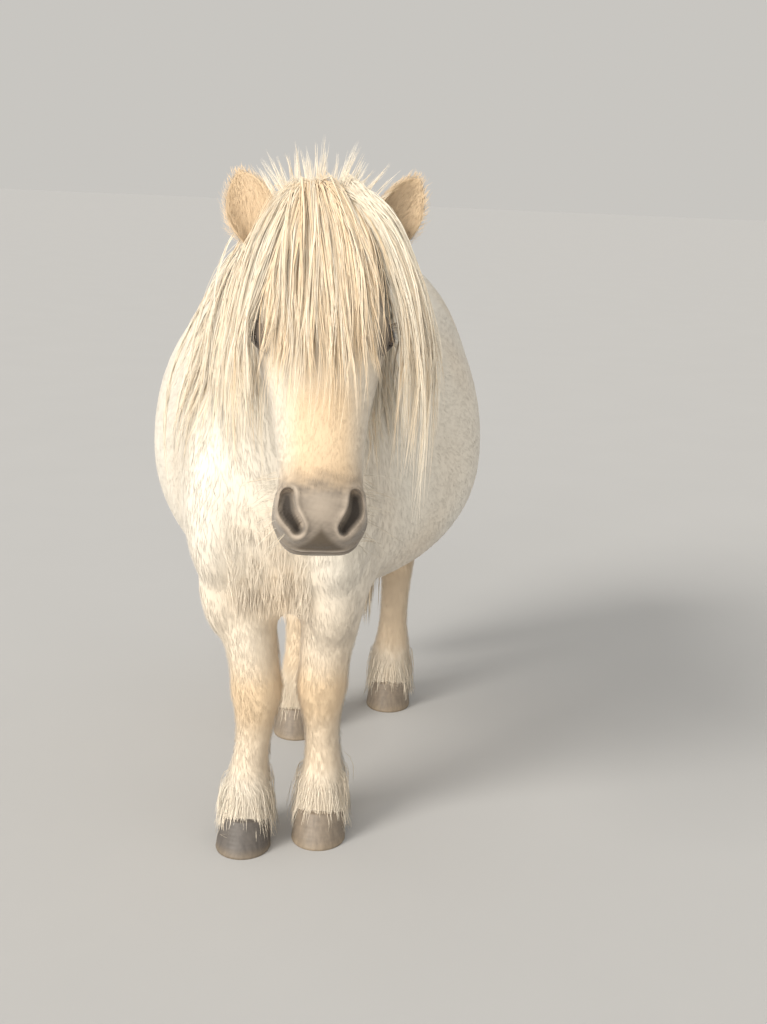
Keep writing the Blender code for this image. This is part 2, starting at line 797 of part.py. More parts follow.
def dock_path(tree):
    """The middle of the dock: out of the rump, over, and down behind it."""
    normal = Vector((0.0, 0.75, 0.66))
    clear = DOCK_RADIUS * 0.9
    points, _ = hang(TAIL_ROOT, normal, Vector((0, 1, 0.15)), DOCK_LENGTH, 8, tree, clear, 0.05)
    return [points[0] - normal * 0.02, *points[1:]]


def dock(path, collection):
    """The fleshy part of the tail, thinner towards its end."""
    radii = [DOCK_RADIUS * (1.0 - 0.62 * k / (len(path) - 1)) for k in range(len(path))]
    return tube("tail", path, radii, 10, collection)


# Which of the steps of a hanging strand a lock's rings stand at; the last is its tip
LOCK_STEPS = {"long": (0, 1, 3, 7, 12), "short": (0, 2, 5, 9, 12)}
LOCK_WIDTHS = {"long": (0.35, 0.50, 0.95, 1.0), "short": (0.50, 0.75, 1.0, 0.75)}
STRAND_STEPS = 12
LOCK_CLEAR = 0.0008
LOCK_TRIES = 24


def lock_shape(strand, half_width, half_depth, kind, extra=0.0):
    """Points and triangles of a flat four-sided lock, widest before its middle.

    Front and back are split alike, so that they never cross where it bends.
    """
    points, outs = strand
    stops = LOCK_STEPS[kind]
    vertices = []
    for stop, wide in zip(stops, LOCK_WIDTHS[kind]):
        share = stop / STRAND_STEPS
        ahead = (points[stop + 1] - points[max(stop - 1, 0)]).normalized()
        side = ahead.cross(outs[stop]).normalized()
        out = side.cross(ahead)
        width = half_width * wide + extra
        depth = half_depth * (1.0 - 0.5 * share) + extra
        center = points[stop]
        vertices += [center + side * width, center + out * depth,
                     center - side * width, center - out * depth]
    vertices.append(points[-1])
    faces = [(0, 1, 3), (1, 2, 3)]
    rows = len(stops) - 1
    for row in range(rows - 1):
        for j in range(4):
            k = (j + 1) % 4
            a, b, c, d = row * 4 + j, row * 4 + k, row * 4 + 4 + k, row * 4 + 4 + j
            faces += [(a, b, c), (a, c, d)] if j < 2 else [(a, b, d), (b, c, d)]
    last = (rows - 1) * 4
    faces += [(last + j, last + (j + 1) % 4, rows * 4) for j in range(4)]
    return vertices, faces


def grow_locks(count, draw, kind, neighbours, collection, crossings=0):
    """Makes locks drawn at random, each drawn anew while it would touch a neighbour.

    Locks of one node join at their roots: past its first ring a lock crosses no more
    than a few of the others.
    """
    made = []
    taken = []
    for k in range(count):
        for _ in range(LOCK_TRIES):
            strand, half_width, half_depth = draw(k)
            fat, faces = lock_shape(strand, half_width, half_depth, kind, LOCK_CLEAR)
            free = [face for face in faces if min(face) > 3]
            if BVHTree.FromPolygons(fat, faces).overlap(neighbours):
                continue
            loose = BVHTree.FromPolygons(fat, free)
            if sum(bool(loose.overlap(other)) for other in taken) > crossings:
                continue
            taken.append(loose)
            vertices, faces = lock_shape(strand, half_width, half_depth, kind)
            made.append(mesh_object("lock", vertices, faces, collection))
            break
    return made


def wobble(size):
    """A random amount either way."""
    return random.uniform(-size, size)


def layer_of(k, count):
    """Locks are laid in layers, the lowest first; gives the layer and the place in it."""
    size = math.ceil(count / LAYERS)
    return k // size, (k % size + 0.5) / size


def forelock(skin, around, neighbours, collection):
    """Locks that fan from the poll over the brow, the eyes and the cheeks."""
    down, out, left = head_frame()

    def draw(k):
        layer, place = layer_of(k, FORELOCK_COUNT)
        share = -1.0 + 2.0 * place + wobble(0.10)
        fan = share * FORELOCK_FAN + wobble(0.12)
        start = on_head(0.024 - 0.012 * layer + wobble(0.004), 0.2, 0.042 * share)
        root, normal, _, _ = skin.ray_cast(start, -out)
        heading = down * math.cos(fan) + left * math.sin(fan) + out * 0.30
        length = FORELOCK_LENGTH + FORELOCK_SIDES_LONGER * share**2
        length += FORELOCK_RIGHT_LONGER if share < 0 else 0.0
        length *= random.uniform(0.80, 1.06)
        clear = OFF_SKIN + FORELOCK_STEP * layer
        droop = 0.085 + 0.05 * max(share, 0.0)
        strand = hang(root, normal, heading, length, STRAND_STEPS, around, clear, droop)
        return strand, random.uniform(*FORELOCK_WIDTHS), LOCK_DEPTH

    return grow_locks(FORELOCK_COUNT, draw, "long", neighbours, collection)


def mane(skin, around, neighbours, collection):
    """Locks down both sides of the crest, more of them on the right."""
    def draw(k):
        side = -1 if k % 5 < 3 else 1
        layer, share = layer_of(k, MANE_COUNT)
        y = MANE_FROM + (MANE_TO - MANE_FROM) * share + wobble(0.008)
        bend = POLL.x * (1.0 - share) ** 1.3
        start = Vector((bend + side * (0.022 - 0.006 * layer + wobble(0.003)), y, 1.4))
        root, normal, _, _ = skin.ray_cast(start, DOWN)
        heading = Vector((side, -0.25 + wobble(0.3), 0.10))
        length = MANE_LENGTH * random.uniform(0.78, 1.08)
        length *= 1.0 if side < 0 else MANE_LEFT_SHARE
        clear = OFF_SKIN + LAYER_STEP * layer
        strand = hang(root, normal, heading, length, STRAND_STEPS, around, clear, 0.05)
        return strand, random.uniform(*MANE_WIDTHS), LOCK_DEPTH

    return grow_locks(MANE_COUNT, draw, "long", neighbours, collection)


def poll_tuft(skin, around, neighbours, collection):
    """Short locks that stand up between the ears."""
    _, out, _ = head_frame()

    def draw(k):
        share = -1.0 + 2.0 * (k + 0.5) / TUFT_COUNT + wobble(0.08)
        start = on_head(-0.012 + 0.014 * (k % 2), 0.2, 0.034 * share)
        root, normal, _, _ = skin.ray_cast(start, -out)
        heading = Vector((0.55 * share + wobble(0.2), -0.15 + wobble(0.3), 1.0))
        length = TUFT_LENGTH * random.uniform(0.7, 1.1)
        strand = hang(root, normal, heading, length, STRAND_STEPS, around, 0.004, 0.16)
        return strand, random.uniform(*TUFT_WIDTHS), LOCK_DEPTH

    return grow_locks(TUFT_COUNT, draw, "short", neighbours, collection)


def tail_locks(path, around, neighbours, collection):
    """Locks round the dock, the highest first, which fall to just over the ground."""
    def draw(k):
        share = (k + 0.5) / TAIL_COUNT
        turn = math.radians(GOLDEN_TURN * k) + wobble(0.5)
        place = share**0.8 * (len(path) - 2.4) + 1.2
        low = min(int(place), len(path) - 2)
        middle = path[low].lerp(path[low + 1], min(place - low, 1.0))
        normal = Vector((math.cos(turn), 0.45 + 0.80 * math.sin(turn), 0.0)).normalized()
        root = middle + normal * DOCK_RADIUS * (0.95 - 0.6 * share)
        heading = normal * (1.3 - 1.0 * share) + Vector((wobble(0.2), 0.10, -0.6))
        length = (middle.z - TAIL_TIP_HEIGHT) * random.uniform(0.80, 1.0)
        strand = hang(root, normal, heading, length, STRAND_STEPS, around, TAIL_OFF_SKIN, 0.06)
        return strand, random.uniform(*TAIL_WIDTHS), TAIL_LOCK_DEPTH

    return grow_locks(TAIL_COUNT, draw, "long", neighbours, collection, 1)


def feather(leg, skin, neighbours, collection):
    """Short locks behind one fetlock in two rows, down over the back of the hoof."""
    x, y = FEET[leg]
    middle = Vector((x, y + FETLOCK_BACK, 0.0))
    in_row = FEATHER_COUNT // 2

    def draw(k):
        row, place = divmod(k, in_row)
        share = -1.0 + 2.0 * (place + 0.25 + 0.5 * row) / in_row
        turn = math.radians(90.0 + 95.0 * share) + wobble(0.05)
        ray = Vector((math.cos(turn), math.sin(turn), 0.0))
        height = 0.108 - 0.018 * abs(share) + 0.030 * row
        root, normal, _, _ = skin.ray_cast(middle + ray * 0.06 + Vector((0, 0, height)), -ray)
        heading = ray * 0.10 + Vector((0, 0.06, -1.0))
        length = FEATHER_LENGTH * random.uniform(0.85, 1.1) * (1.15 - 0.30 * abs(share))
        clear = FEATHER_OFF_SKIN + FEATHER_STEP * row
        strand = hang(root, normal, heading, length, STRAND_STEPS, skin, clear, 0.20)
        return strand, random.uniform(*FEATHER_WIDTHS), LOCK_DEPTH

    return grow_locks(FEATHER_COUNT, draw, "short", neighbours, collection)


def material(name, colour, roughness):
    """A plain surface of one colour."""
    made = bpy.data.materials.new(name)
    made.use_nodes = True
    shader = made.node_tree.nodes["Principled BSDF"]
    shader.inputs["Base Color"].default_value = colour
    shader.inputs["Roughness"].default_value = roughness
    return made


def place_origin(obj, place):
    """Moves an object's origin without moving the object."""
    obj.data.transform(Matrix.Translation(-place))
    obj.location = place


def finish(obj, look, origin, parent, collection):
    """Gives a node its material, origin, parent and collection."""
    obj.data.materials.clear()
    obj.data.materials.append(look)
    for face in obj.data.polygons:
        face.material_index = 0
    place_origin(obj, Vector(origin))
    obj.parent = parent
    for old in list(obj.users_collection):
        old.objects.unlink(obj)
    collection.objects.link(obj)


def centre_on_floor(nodes):
    """Moves the nodes so that the origin is on the floor under the middle of their box."""
    bpy.context.view_layer.update()
    points = np.array([obj.matrix_world @ v.co for obj in nodes for v in obj.data.vertices])
    middle = (points.min(0) + points.max(0)) / 2
    for obj in nodes:
        obj.location -= Vector((middle[0], middle[1], 0.0))


def main():
    """Builds every node, fuses the hair to the node it grows from, and stands it on the floor."""
    random.seed(SEED)
    for obj in list(bpy.data.objects):
        remove(obj)
    flesh, work = flesh_of()
    skin = surface_tree(flesh)
    fine = decimated(flesh, "fine", HEAD_TRIANGLES, work)
    body = decimated(flesh, "body", BODY_TRIANGLES, work)
    light = decimated(body, "light", TORSO_TRIANGLES, work)

    head_space = ahead_of(HEAD_CUT, 0.0, work)
    head = cut_of(fine, "head", work, inside=[head_space])
    before = ahead_of(SHOULDER_CUT, -GAP * 1.3, work)
    behind_head = ahead_of(HEAD_CUT, GAP * 1.3, work)
    neck = cut_of(body, "neck", work, inside=[before], outside=[behind_head])
    torso = cut_of(light, "torso", work, outside=[
        ahead_of(SHOULDER_CUT, 0.0, work), below(FRONT_LEG_CUT, work), below(HIND_LEG_CUT, work)
    ])
    legs = {}
    for leg in FEET:
        legs[leg] = cut_of(body, "leg_" + leg, work, inside=[leg_region(leg, work)])
    hooves = {leg: hoof(leg, work) for leg in FEET}

    ears = {}
    for name in EARS:
        ears[name] = ear(name, work)
        swollen = grown(head, "swollen_head", work)
        boolean(ears[name], "DIFFERENCE", swollen)
        remove(swollen)
        keep_largest_surface(ears[name])

    eyes = {}
    rims = []
    sockets = []
    for name, side in (("eye_left", 1), ("eye_right", -1)):
        eyes[name], middle = eye(name, side, skin, work)
        sockets.append(grown(eyes[name], "socket", work))
        rims += lids(middle, side, work)
    union(head, rims, work)
    for socket in sockets:
        boolean(head, "DIFFERENCE", socket, "MANIFOLD")
        remove(socket)
        keep_largest_surface(head)
    for side in (-1, 1):
        hollow = nostril(skin, side, work)
        boolean(head, "DIFFERENCE", hollow)
        remove(hollow)
    groove = mouth_groove(skin, work)
    boolean(head, "DIFFERENCE", groove)
    remove(groove)
    keep_largest_surface(head)

    dock_middle = dock_path(skin)
    tail = dock(dock_middle, work)
    swollen = grown(torso, "swollen_torso", work)
    boolean(tail, "DIFFERENCE", swollen)
    remove(swollen)
    keep_largest_surface(tail)

    around = surface_tree(flesh, *ears.values(), *hooves.values())
    others = surface_tree(*ears.values(), *eyes.values(), neck, torso)
    locks = forelock(skin, around, others, work)
    locks += poll_tuft(skin, around, others, work)
    union(head, locks, work)
    others = surface_tree(head, *ears.values(), *eyes.values(), torso)
    union(neck, mane(skin, around, others, work), work)
    others = surface_tree(torso, *legs.values())
    union(tail, tail_locks(dock_middle, around, others, work), work)
    for leg in FEET:
        others = surface_tree(*hooves.values(), *(obj for key, obj in legs.items() if key != leg))
        union(legs[leg], feather(leg, skin, others, work), work)

    coat = material("coat", LIGHT_COAT, 0.8)
    hair = material("long_hair", WHITE_HAIR, 0.7)
    tan = material("tan_coat", TAN_COAT, 0.8)
    dark_eye = material("eye", DARK_EYE, 0.1)
    horn = material("horn", HORN_GREY, 0.5)
    pony = bpy.data.objects.new("pony", None)
    bpy.context.scene.collection.objects.link(pony)
    shown = bpy.data.collections.new("nodes")
    bpy.context.scene.collection.children.link(shown)
    finish(torso, coat, (0.0, 0.0, 0.62), pony, shown)
    finish(neck, coat, (0.02, -0.38, 0.86), pony, shown)
    finish(head, tan, POLL, pony, shown)
    finish(tail, hair, TAIL_ROOT, pony, shown)
    for name, obj in ears.items():
        finish(obj, tan, on_head(*EARS[name][0]), pony, shown)
    for name, obj in eyes.items():
        finish(obj, dark_eye, sum((v.co for v in obj.data.vertices), Vector()) / len(obj.data.vertices),
               pony, shown)
    for leg, obj in legs.items():
        x, y, z = LEG_LINES[leg][0][1], LEG_LINES[leg][0][2], FRONT_LEG_CUT[0][1]
        finish(obj, tan, (x, y, z), pony, shown)
        finish(hooves[leg], horn, (*FEET[leg], 0.0), pony, shown)
    for obj in (flesh, body, light, fine):
        remove(obj)
    centre_on_floor(shown.objects)


if __name__ == "__main__":
    main()
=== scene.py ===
"""The looks of a life-size Shetland pony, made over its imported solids.

Sizes are in metres. The pony faces -Y and its left side is +X. Its forms are worked out
about the ground under its barrel, as the solids were drawn, and SHIFT moves each finished
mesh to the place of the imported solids.
"""

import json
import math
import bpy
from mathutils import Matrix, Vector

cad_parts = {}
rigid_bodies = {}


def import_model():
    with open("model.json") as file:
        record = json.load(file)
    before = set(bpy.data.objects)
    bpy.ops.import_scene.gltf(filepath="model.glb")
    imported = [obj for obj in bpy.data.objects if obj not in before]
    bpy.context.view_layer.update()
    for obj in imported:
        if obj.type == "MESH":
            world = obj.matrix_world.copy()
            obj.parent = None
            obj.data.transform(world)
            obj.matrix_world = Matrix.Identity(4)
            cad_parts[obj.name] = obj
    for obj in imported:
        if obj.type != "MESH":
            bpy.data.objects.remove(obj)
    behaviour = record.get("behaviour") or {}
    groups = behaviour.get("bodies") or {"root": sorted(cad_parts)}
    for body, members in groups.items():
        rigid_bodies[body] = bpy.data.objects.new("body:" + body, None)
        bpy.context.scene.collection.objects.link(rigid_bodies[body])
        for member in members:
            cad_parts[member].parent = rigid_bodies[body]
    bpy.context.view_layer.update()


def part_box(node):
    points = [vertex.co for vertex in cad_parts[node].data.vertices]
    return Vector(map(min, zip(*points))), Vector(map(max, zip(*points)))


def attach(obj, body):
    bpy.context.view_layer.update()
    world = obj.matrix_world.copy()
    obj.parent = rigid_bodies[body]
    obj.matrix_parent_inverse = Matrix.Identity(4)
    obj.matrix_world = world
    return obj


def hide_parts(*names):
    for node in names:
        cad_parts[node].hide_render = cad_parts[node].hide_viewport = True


bl_info = {
    "name": "Shetland Pony",
    "version": (1, 0, 0),
    "blender": (4, 5, 0),
    "location": "View3D > Sidebar > Pony",
    "description": "A life-size Shetland pony with its skin, short coat, long hair, eyes and hooves",
    "category": "Add Mesh",
}

from functools import cache

import bmesh
import bpy
import numpy as np
from bpy.props import FloatProperty, FloatVectorProperty, IntProperty, PointerProperty
from mathutils import Quaternion, Vector
from mathutils.bvhtree import BVHTree

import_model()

# Driving sizes of the pony, the same as the solids'
POLL = np.array([0.092, -0.672, 1.040])
HIP_SWING = 0.034
FACE_SLOPE = math.radians(64.0)
HEAD_YAW = math.radians(9.8)
EYE_RADIUS = 0.0175
EYE_ALONG = 0.146
EYE_OUT = -0.020
EYE_SHOWING = 0.0075
EAR_LENGTH = 0.104
EAR_WIDTH = 0.067
EAR_DEPTH_SHARE = 0.72
EAR_WALL = 0.0055
DOCK_LENGTH = 0.26
DOCK_RADIUS = 0.026
TAIL_ROOT = np.array([HIP_SWING, 0.455, 0.868])
HOOF_HALF_WIDTH = 0.046
HOOF_HALF_LENGTH = 0.054
CORONET_HALF_WIDTH = 0.040
CORONET_HALF_LENGTH = 0.043
CORONET_BACK = 0.017
CORONET_HEIGHT = 0.050
CORONET_SLOPE = 0.22
SOLE_BEVEL = 0.0015
FETLOCK_HEIGHT = 0.105
FETLOCK_BACK = 0.036

# Where the middle of each hoof stands
FEET = {
    "front_right": (-0.050, -0.398),
    "front_left": (0.070, -0.346),
    "hind_right": (-0.036, 0.118),
    "hind_left": (0.134, 0.305),
}

# Torso sections: along Y, half width, top, height of the widest place, bottom
TORSO_SECTIONS = (
    (-0.482, 0.042, 0.700, 0.640, 0.590),
    (-0.456, 0.096, 0.775, 0.620, 0.505),
    (-0.405, 0.142, 0.865, 0.600, 0.425),
    (-0.330, 0.178, 0.932, 0.600, 0.388),
    (-0.250, 0.212, 0.975, 0.600, 0.388),
    (-0.140, 0.260, 0.965, 0.603, 0.370),
    (-0.020, 0.300, 0.945, 0.612, 0.350),
    (0.100, 0.300, 0.942, 0.606, 0.350),
    (0.190, 0.278, 0.955, 0.622, 0.392),
    (0.280, 0.248, 0.966, 0.666, 0.480),
    (0.370, 0.216, 0.948, 0.700, 0.560),
    (0.440, 0.164, 0.895, 0.715, 0.620),
    (0.476, 0.104, 0.838, 0.730, 0.665),
    (0.494, 0.045, 0.790, 0.735, 0.695),
)

# Neck sections: crest (Y, Z), throat (Y, Z), half width
NECK_SECTIONS = (
    (-0.140, 0.900, -0.380, 0.540, 0.120),
    (-0.270, 0.965, -0.468, 0.600, 0.122),
    (-0.400, 1.012, -0.512, 0.708, 0.102),
    (-0.520, 1.045, -0.532, 0.800, 0.086),
    (-0.625, 1.052, -0.545, 0.868, 0.074),
)

# Head sections from the poll to the lips: along the face, then from the face
# line outwards the top, the widest place and the jaw, then the half width
HEAD_SECTIONS = (
    (-0.035, -0.034, -0.075, -0.116, 0.046),
    (0.000, -0.006, -0.068, -0.160, 0.068),
    (0.045, 0.012, -0.066, -0.196, 0.082),
    (0.095, 0.022, -0.060, -0.210, 0.089),
    (0.142, 0.024, -0.056, -0.206, 0.090),
    (0.190, 0.018, -0.058, -0.186, 0.081),
    (0.240, 0.010, -0.058, -0.160, 0.068),
    (0.290, 0.005, -0.056, -0.138, 0.060),
    (0.338, 0.003, -0.055, -0.128, 0.057),
    (0.376, 0.000, -0.056, -0.124, 0.060),
    (0.408, -0.012, -0.060, -0.118, 0.057),
    (0.430, -0.034, -0.066, -0.104, 0.042),
)

# Front leg sections: height, half width across, half depth fore and aft
FRONT_SECTIONS = (
    (0.620, 0.072, 0.098),
    (0.520, 0.070, 0.094),
    (0.440, 0.060, 0.076),
    (0.370, 0.051, 0.060),
    (0.310, 0.045, 0.050),
    (0.268, 0.047, 0.050),
    (0.225, 0.038, 0.042),
    (0.170, 0.033, 0.039),
    (0.125, 0.036, 0.043),
    (0.100, 0.041, 0.048),
    (0.075, 0.040, 0.044),
    (0.020, 0.044, 0.049),
)

# Hind leg sections, the same way
HIND_SECTIONS = (
    (0.700, 0.092, 0.135),
    (0.600, 0.094, 0.146),
    (0.510, 0.084, 0.126),
    (0.440, 0.066, 0.096),
    (0.385, 0.050, 0.071),
    (0.345, 0.044, 0.061),
    (0.300, 0.040, 0.050),
    (0.220, 0.033, 0.041),
    (0.150, 0.035, 0.042),
    (0.110, 0.042, 0.048),
    (0.080, 0.040, 0.044),
    (0.020, 0.044, 0.049),
)

# Middle of each leg above its fetlock: height, then X and Y
LEG_LINES = {
    "front_right": ((0.620, -0.092, -0.350), (0.440, -0.070, -0.348), (0.268, -0.036, -0.374)),
    "front_left": ((0.620, 0.096, -0.345), (0.440, 0.086, -0.336), (0.268, 0.067, -0.334)),
    "hind_right": ((0.700, -0.085, 0.315), (0.600, -0.095, 0.270), (0.510, -0.095, 0.240),
                   (0.440, -0.082, 0.245), (0.345, -0.060, 0.250), (0.220, -0.045, 0.196)),
    "hind_left": ((0.700, 0.160, 0.325), (0.600, 0.165, 0.310), (0.510, 0.160, 0.305),
                  (0.440, 0.148, 0.350), (0.345, 0.138, 0.402), (0.220, 0.135, 0.372)),
}

# Muscles of the body: middle on the left side, radii, and lean about X in degrees
BODY_MUSCLES = (
    ((0.094, -0.370, 0.620), (0.070, 0.105, 0.185), -14.0),
    ((0.100, -0.295, 0.495), (0.060, 0.080, 0.095), 0.0),
    ((0.076, -0.414, 0.562), (0.060, 0.060, 0.140), 7.0),
    ((0.085, -0.388, 0.455), (0.052, 0.052, 0.108), 12.0),
    ((0.138, 0.290, 0.692), (0.098, 0.150, 0.182), 0.0),
)

# Swellings of the head: along, out and left of the poll, and radii the same way
HEAD_MUSCLES = (
    ((0.108, -0.122, 0.052), (0.088, 0.082, 0.038)),
    ((0.142, -0.006, 0.062), (0.040, 0.024, 0.029)),
    ((0.386, -0.030, 0.034), (0.030, 0.027, 0.026)),
    ((0.398, -0.068, 0.022), (0.036, 0.032, 0.034)),
    ((0.384, -0.108, 0.008), (0.030, 0.022, 0.028)),
)

# Each ear: along, out and left of its root on the head, where it points, and
# where its opening faces, in the pony's own X, Y and Z
EARS = (
    ((0.012, -0.046, -0.080), (-0.37, 0.08, 0.93), (0.05, -0.99, 0.02)),
    ((0.006, -0.047, 0.072), (0.56, 0.02, 0.80), (0.40, -0.90, -0.05)),
)

# How finely the body is fused and smoothed
FLESH_VOXEL = 0.008
FLESH_SMOOTHING = 14

# The camera in the pony's own frame, and how far it is rolled
CAMERA_PLACE = (0.338, -2.61, 1.12)
CAMERA_YAW = math.radians(4.5)
CAMERA_PITCH = math.radians(13.46)
CAMERA_ROLL = math.radians(2.3)
CAMERA_LENS = 50.98

DOWN = np.array([0.0, 0.0, -1.0])

# Side of a tuft's patch on the OFBake map, the most tufts in one piece, at six triangles
# each, the least height of hair over the floor, whiskers in all and lashes to an eye
PATCH = 0.003
TUFTS_IN_A_PIECE = 33000
HAIR_FLOOR = 0.004
WHISKERS = 74
LASHES = 20
FLOOR_HALF_WIDTH = 40.0
FLESH_NODES = (
    "torso", "neck", "head", "ear_left", "ear_right",
    "leg_front_left", "leg_front_right", "leg_hind_left", "leg_hind_right",
)


def frame_shift():
    """From the pony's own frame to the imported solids', measured on one hoof."""
    low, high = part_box("hoof_front_left")
    x, y = FEET["front_left"]
    return np.array([(low.x + high.x) / 2 - x, low.y - (y - HOOF_HALF_LENGTH + SOLE_BEVEL), 0.0])


SHIFT = frame_shift()


class PonyCoat(bpy.types.PropertyGroup):
    """Lengths, counts and colours of the skin and its coat."""

    torso_length: FloatProperty(
        name="Torso coat", description="Length of the tufts on the barrel", default=0.019,
        unit="LENGTH")
    face_length: FloatProperty(
        name="Face coat", description="Length of the tufts on the face", default=0.009,
        unit="LENGTH")
    tufts: IntProperty(
        name="Tufts", description="Tufts of the short coat over the whole pony", default=112000)
    cream: FloatVectorProperty(
        name="Cream", description="Colour of the barrel and neck", subtype="COLOR", size=3,
        default=(0.86, 0.80, 0.69))
    peach: FloatVectorProperty(
        name="Peach", description="Colour of the legs, the ears and the ridge of the face",
        subtype="COLOR", size=3, default=(0.76, 0.575, 0.375))
    muzzle: FloatVectorProperty(
        name="Muzzle", description="Colour of the bare skin round the nostrils",
        subtype="COLOR", size=3, default=(0.250, 0.208, 0.165))


class PonyHair(bpy.types.PropertyGroup):
    """Lengths and colours of the long hair."""

    forelock_length: FloatProperty(
        name="Forelock", description="Length of the forelock at its middle", default=0.33,
        unit="LENGTH")
    mane_length: FloatProperty(
        name="Mane", description="Length of the mane", default=0.47, unit="LENGTH")
    tail_tip: FloatProperty(
        name="Tail tip", description="Height of the end of the tail over the floor", default=0.09,
        unit="LENGTH")
    feather_length: FloatProperty(
        name="Feather", description="Length of the hair behind the fetlocks", default=0.070,
        unit="LENGTH")
    hair_width: FloatProperty(
        name="Hair width", description="Width of one strand of the long hair", default=0.0018,
        unit="LENGTH")
    flaxen: FloatVectorProperty(
        name="Flaxen", description="The pale strands", subtype="COLOR", size=3,
        default=(0.92, 0.840, 0.695))
    straw: FloatVectorProperty(
        name="Straw", description="The warmer strands among them", subtype="COLOR", size=3,
        default=(0.86, 0.655, 0.420))


def unit(vectors):
    """Each vector at length one."""
    return vectors / np.maximum(np.linalg.norm(vectors, axis=-1, keepdims=True), 1e-9)


def ramp(values, low, high):
    """0 at low, 1 at high, and a smooth S between them."""
    t = np.clip((np.asarray(values, float) - low) / (high - low), 0.0, 1.0)
    return t * t * (3.0 - 2.0 * t)


def mix(first, second, share):
    """From the first to the second by a share for each row."""
    return first + (second - first) * np.asarray(share)[..., None]


def dot(first, second):
    """The dot product of each pair of rows."""
    return np.sum(first * second, axis=-1)


def wavy(points, size, seed):
    """A smooth random pattern between about -1 and 1: six sine waves about as long as size."""
    rng = np.random.default_rng(seed)
    ways = unit(rng.normal(size=(6, 3))) * rng.uniform(0.6, 1.5, (6, 1)) * (2 * math.pi / size)
    return np.sin(points @ ways.T + rng.uniform(0, 2 * math.pi, 6)).sum(axis=-1) / 3.0


def smooth_between(knots, values, places):
    """A smooth curve through the values at the knots, read at the places."""
    knots = np.asarray(knots, float)
    values = np.asarray(values, float)
    kind = values.shape[1:]
    values = values.reshape(len(knots), -1)
    places = np.atleast_1d(np.asarray(places, float))
    slopes = np.gradient(values, knots, axis=0)
    low = np.clip(np.searchsorted(knots, places) - 1, 0, len(knots) - 2)
    span = (knots[low + 1] - knots[low])[:, None]
    t = (places - knots[low])[:, None] / span
    found = (
        (2 * t**3 - 3 * t**2 + 1) * values[low]
        + (t**3 - 2 * t**2 + t) * span * slopes[low]
        + (3 * t**2 - 2 * t**3) * values[low + 1]
        + (t**3 - t**2) * span * slopes[low + 1]
    )
    return found.reshape(len(places), *kind)


def oval_rings(middles, across, up, half_widths, tops, bottoms, sides, squareness):
    """Rings of points: each a superellipse about its middle, with its own top and bottom half."""
    turn = np.linspace(0.0, 2 * math.pi, sides, endpoint=False)
    power = 2.0 / squareness
    wide = np.sign(np.cos(turn)) * np.abs(np.cos(turn)) ** power
    high = np.sign(np.sin(turn)) * np.abs(np.sin(turn)) ** power
    rise = np.where(high[None, :] > 0, tops[:, None], bottoms[:, None]) * high[None, :]
    side = half_widths[:, None] * wide[None, :]
    return middles[:, None] + side[..., None] * across[:, None] + rise[..., None] * up[:, None]


def spine_swing(along):
    """How far the middle line of the body is to the left, at a place along Y."""
    share = np.clip((np.asarray(along) + 0.05) / 0.5, 0.0, 1.0)
    return HIP_SWING * share**2 * (3 - 2 * share)


def torso_rings(count=44, sides=56):
    """The trunk from the chest to the rump."""
    rows = np.array(TORSO_SECTIONS)
    along = np.linspace(rows[0, 0], rows[-1, 0], count)
    width, top, widest, bottom = smooth_between(rows[:, 0], rows[:, 1:], along).T
    middles = np.stack([spine_swing(along), along, widest], axis=1)
    across = np.tile([1.0, 0.0, 0.0], (count, 1))
    up = np.tile([0.0, 0.0, 1.0], (count, 1))
    return oval_rings(middles, across, up, width, top - widest, widest - bottom, sides, 2.12)


def neck_rings(count=24, sides=36):
    """The neck bends from the middle line over to the poll."""
    rows = np.array(NECK_SECTIONS)
    share = np.linspace(0.0, 1.0, count)
    found = smooth_between(np.linspace(0, 1, len(rows)), rows, share)
    bend = share**1.6 * POLL[0]
    crest = np.stack([bend, found[:, 0], found[:, 1]], axis=1)
    throat = np.stack([bend * 0.9, found[:, 2], found[:, 3]], axis=1)
    middles = (crest + throat) / 2
    half = np.linalg.norm(crest - throat, axis=1) / 2
    up = (crest - throat) / (2 * half)[:, None]
    across = unit(np.cross(up, np.gradient(middles, axis=0)))
    return oval_rings(middles, across, up, found[:, 4], half, half, sides, 2.2)


def head_frame():
    """Down the face, out of the face, and to the pony's left, as the rows of a matrix."""
    level = np.array([math.sin(HEAD_YAW), -math.cos(HEAD_YAW), 0.0])
    down = level * math.cos(FACE_SLOPE) + DOWN * math.sin(FACE_SLOPE)
    out = level * math.sin(FACE_SLOPE) - DOWN * math.cos(FACE_SLOPE)
    left = np.array([math.cos(HEAD_YAW), math.sin(HEAD_YAW), 0.0])
    return np.array([down, out, left])


FACE_DOWN, FACE_OUT, FACE_LEFT = head_frame()
FACE_FRONT = 0.70 * FACE_OUT - 0.25 * FACE_LEFT


def on_head(places):
    """Points given along, out and left of the poll, in the pony's own frame."""
    return POLL + np.asarray(places, float) @ head_frame()


def head_places(points):
    """The other way: how far along, out and left of the poll each point is."""
    return (points - POLL) @ head_frame().T


def head_rings(count=44, sides=36):
    """The head from the poll to the lips, along the line of the face."""
    rows = np.array(HEAD_SECTIONS)
    along = np.linspace(rows[0, 0], rows[-1, 0], count)
    top, widest, jaw, width = smooth_between(rows[:, 0], rows[:, 1:], along).T
    middles = POLL + along[:, None] * FACE_DOWN + widest[:, None] * FACE_OUT
    across = np.tile(FACE_LEFT, (count, 1))
    up = np.tile(FACE_OUT, (count, 1))
    return oval_rings(middles, across, up, width, top - widest, widest - jaw, sides, 2.3)


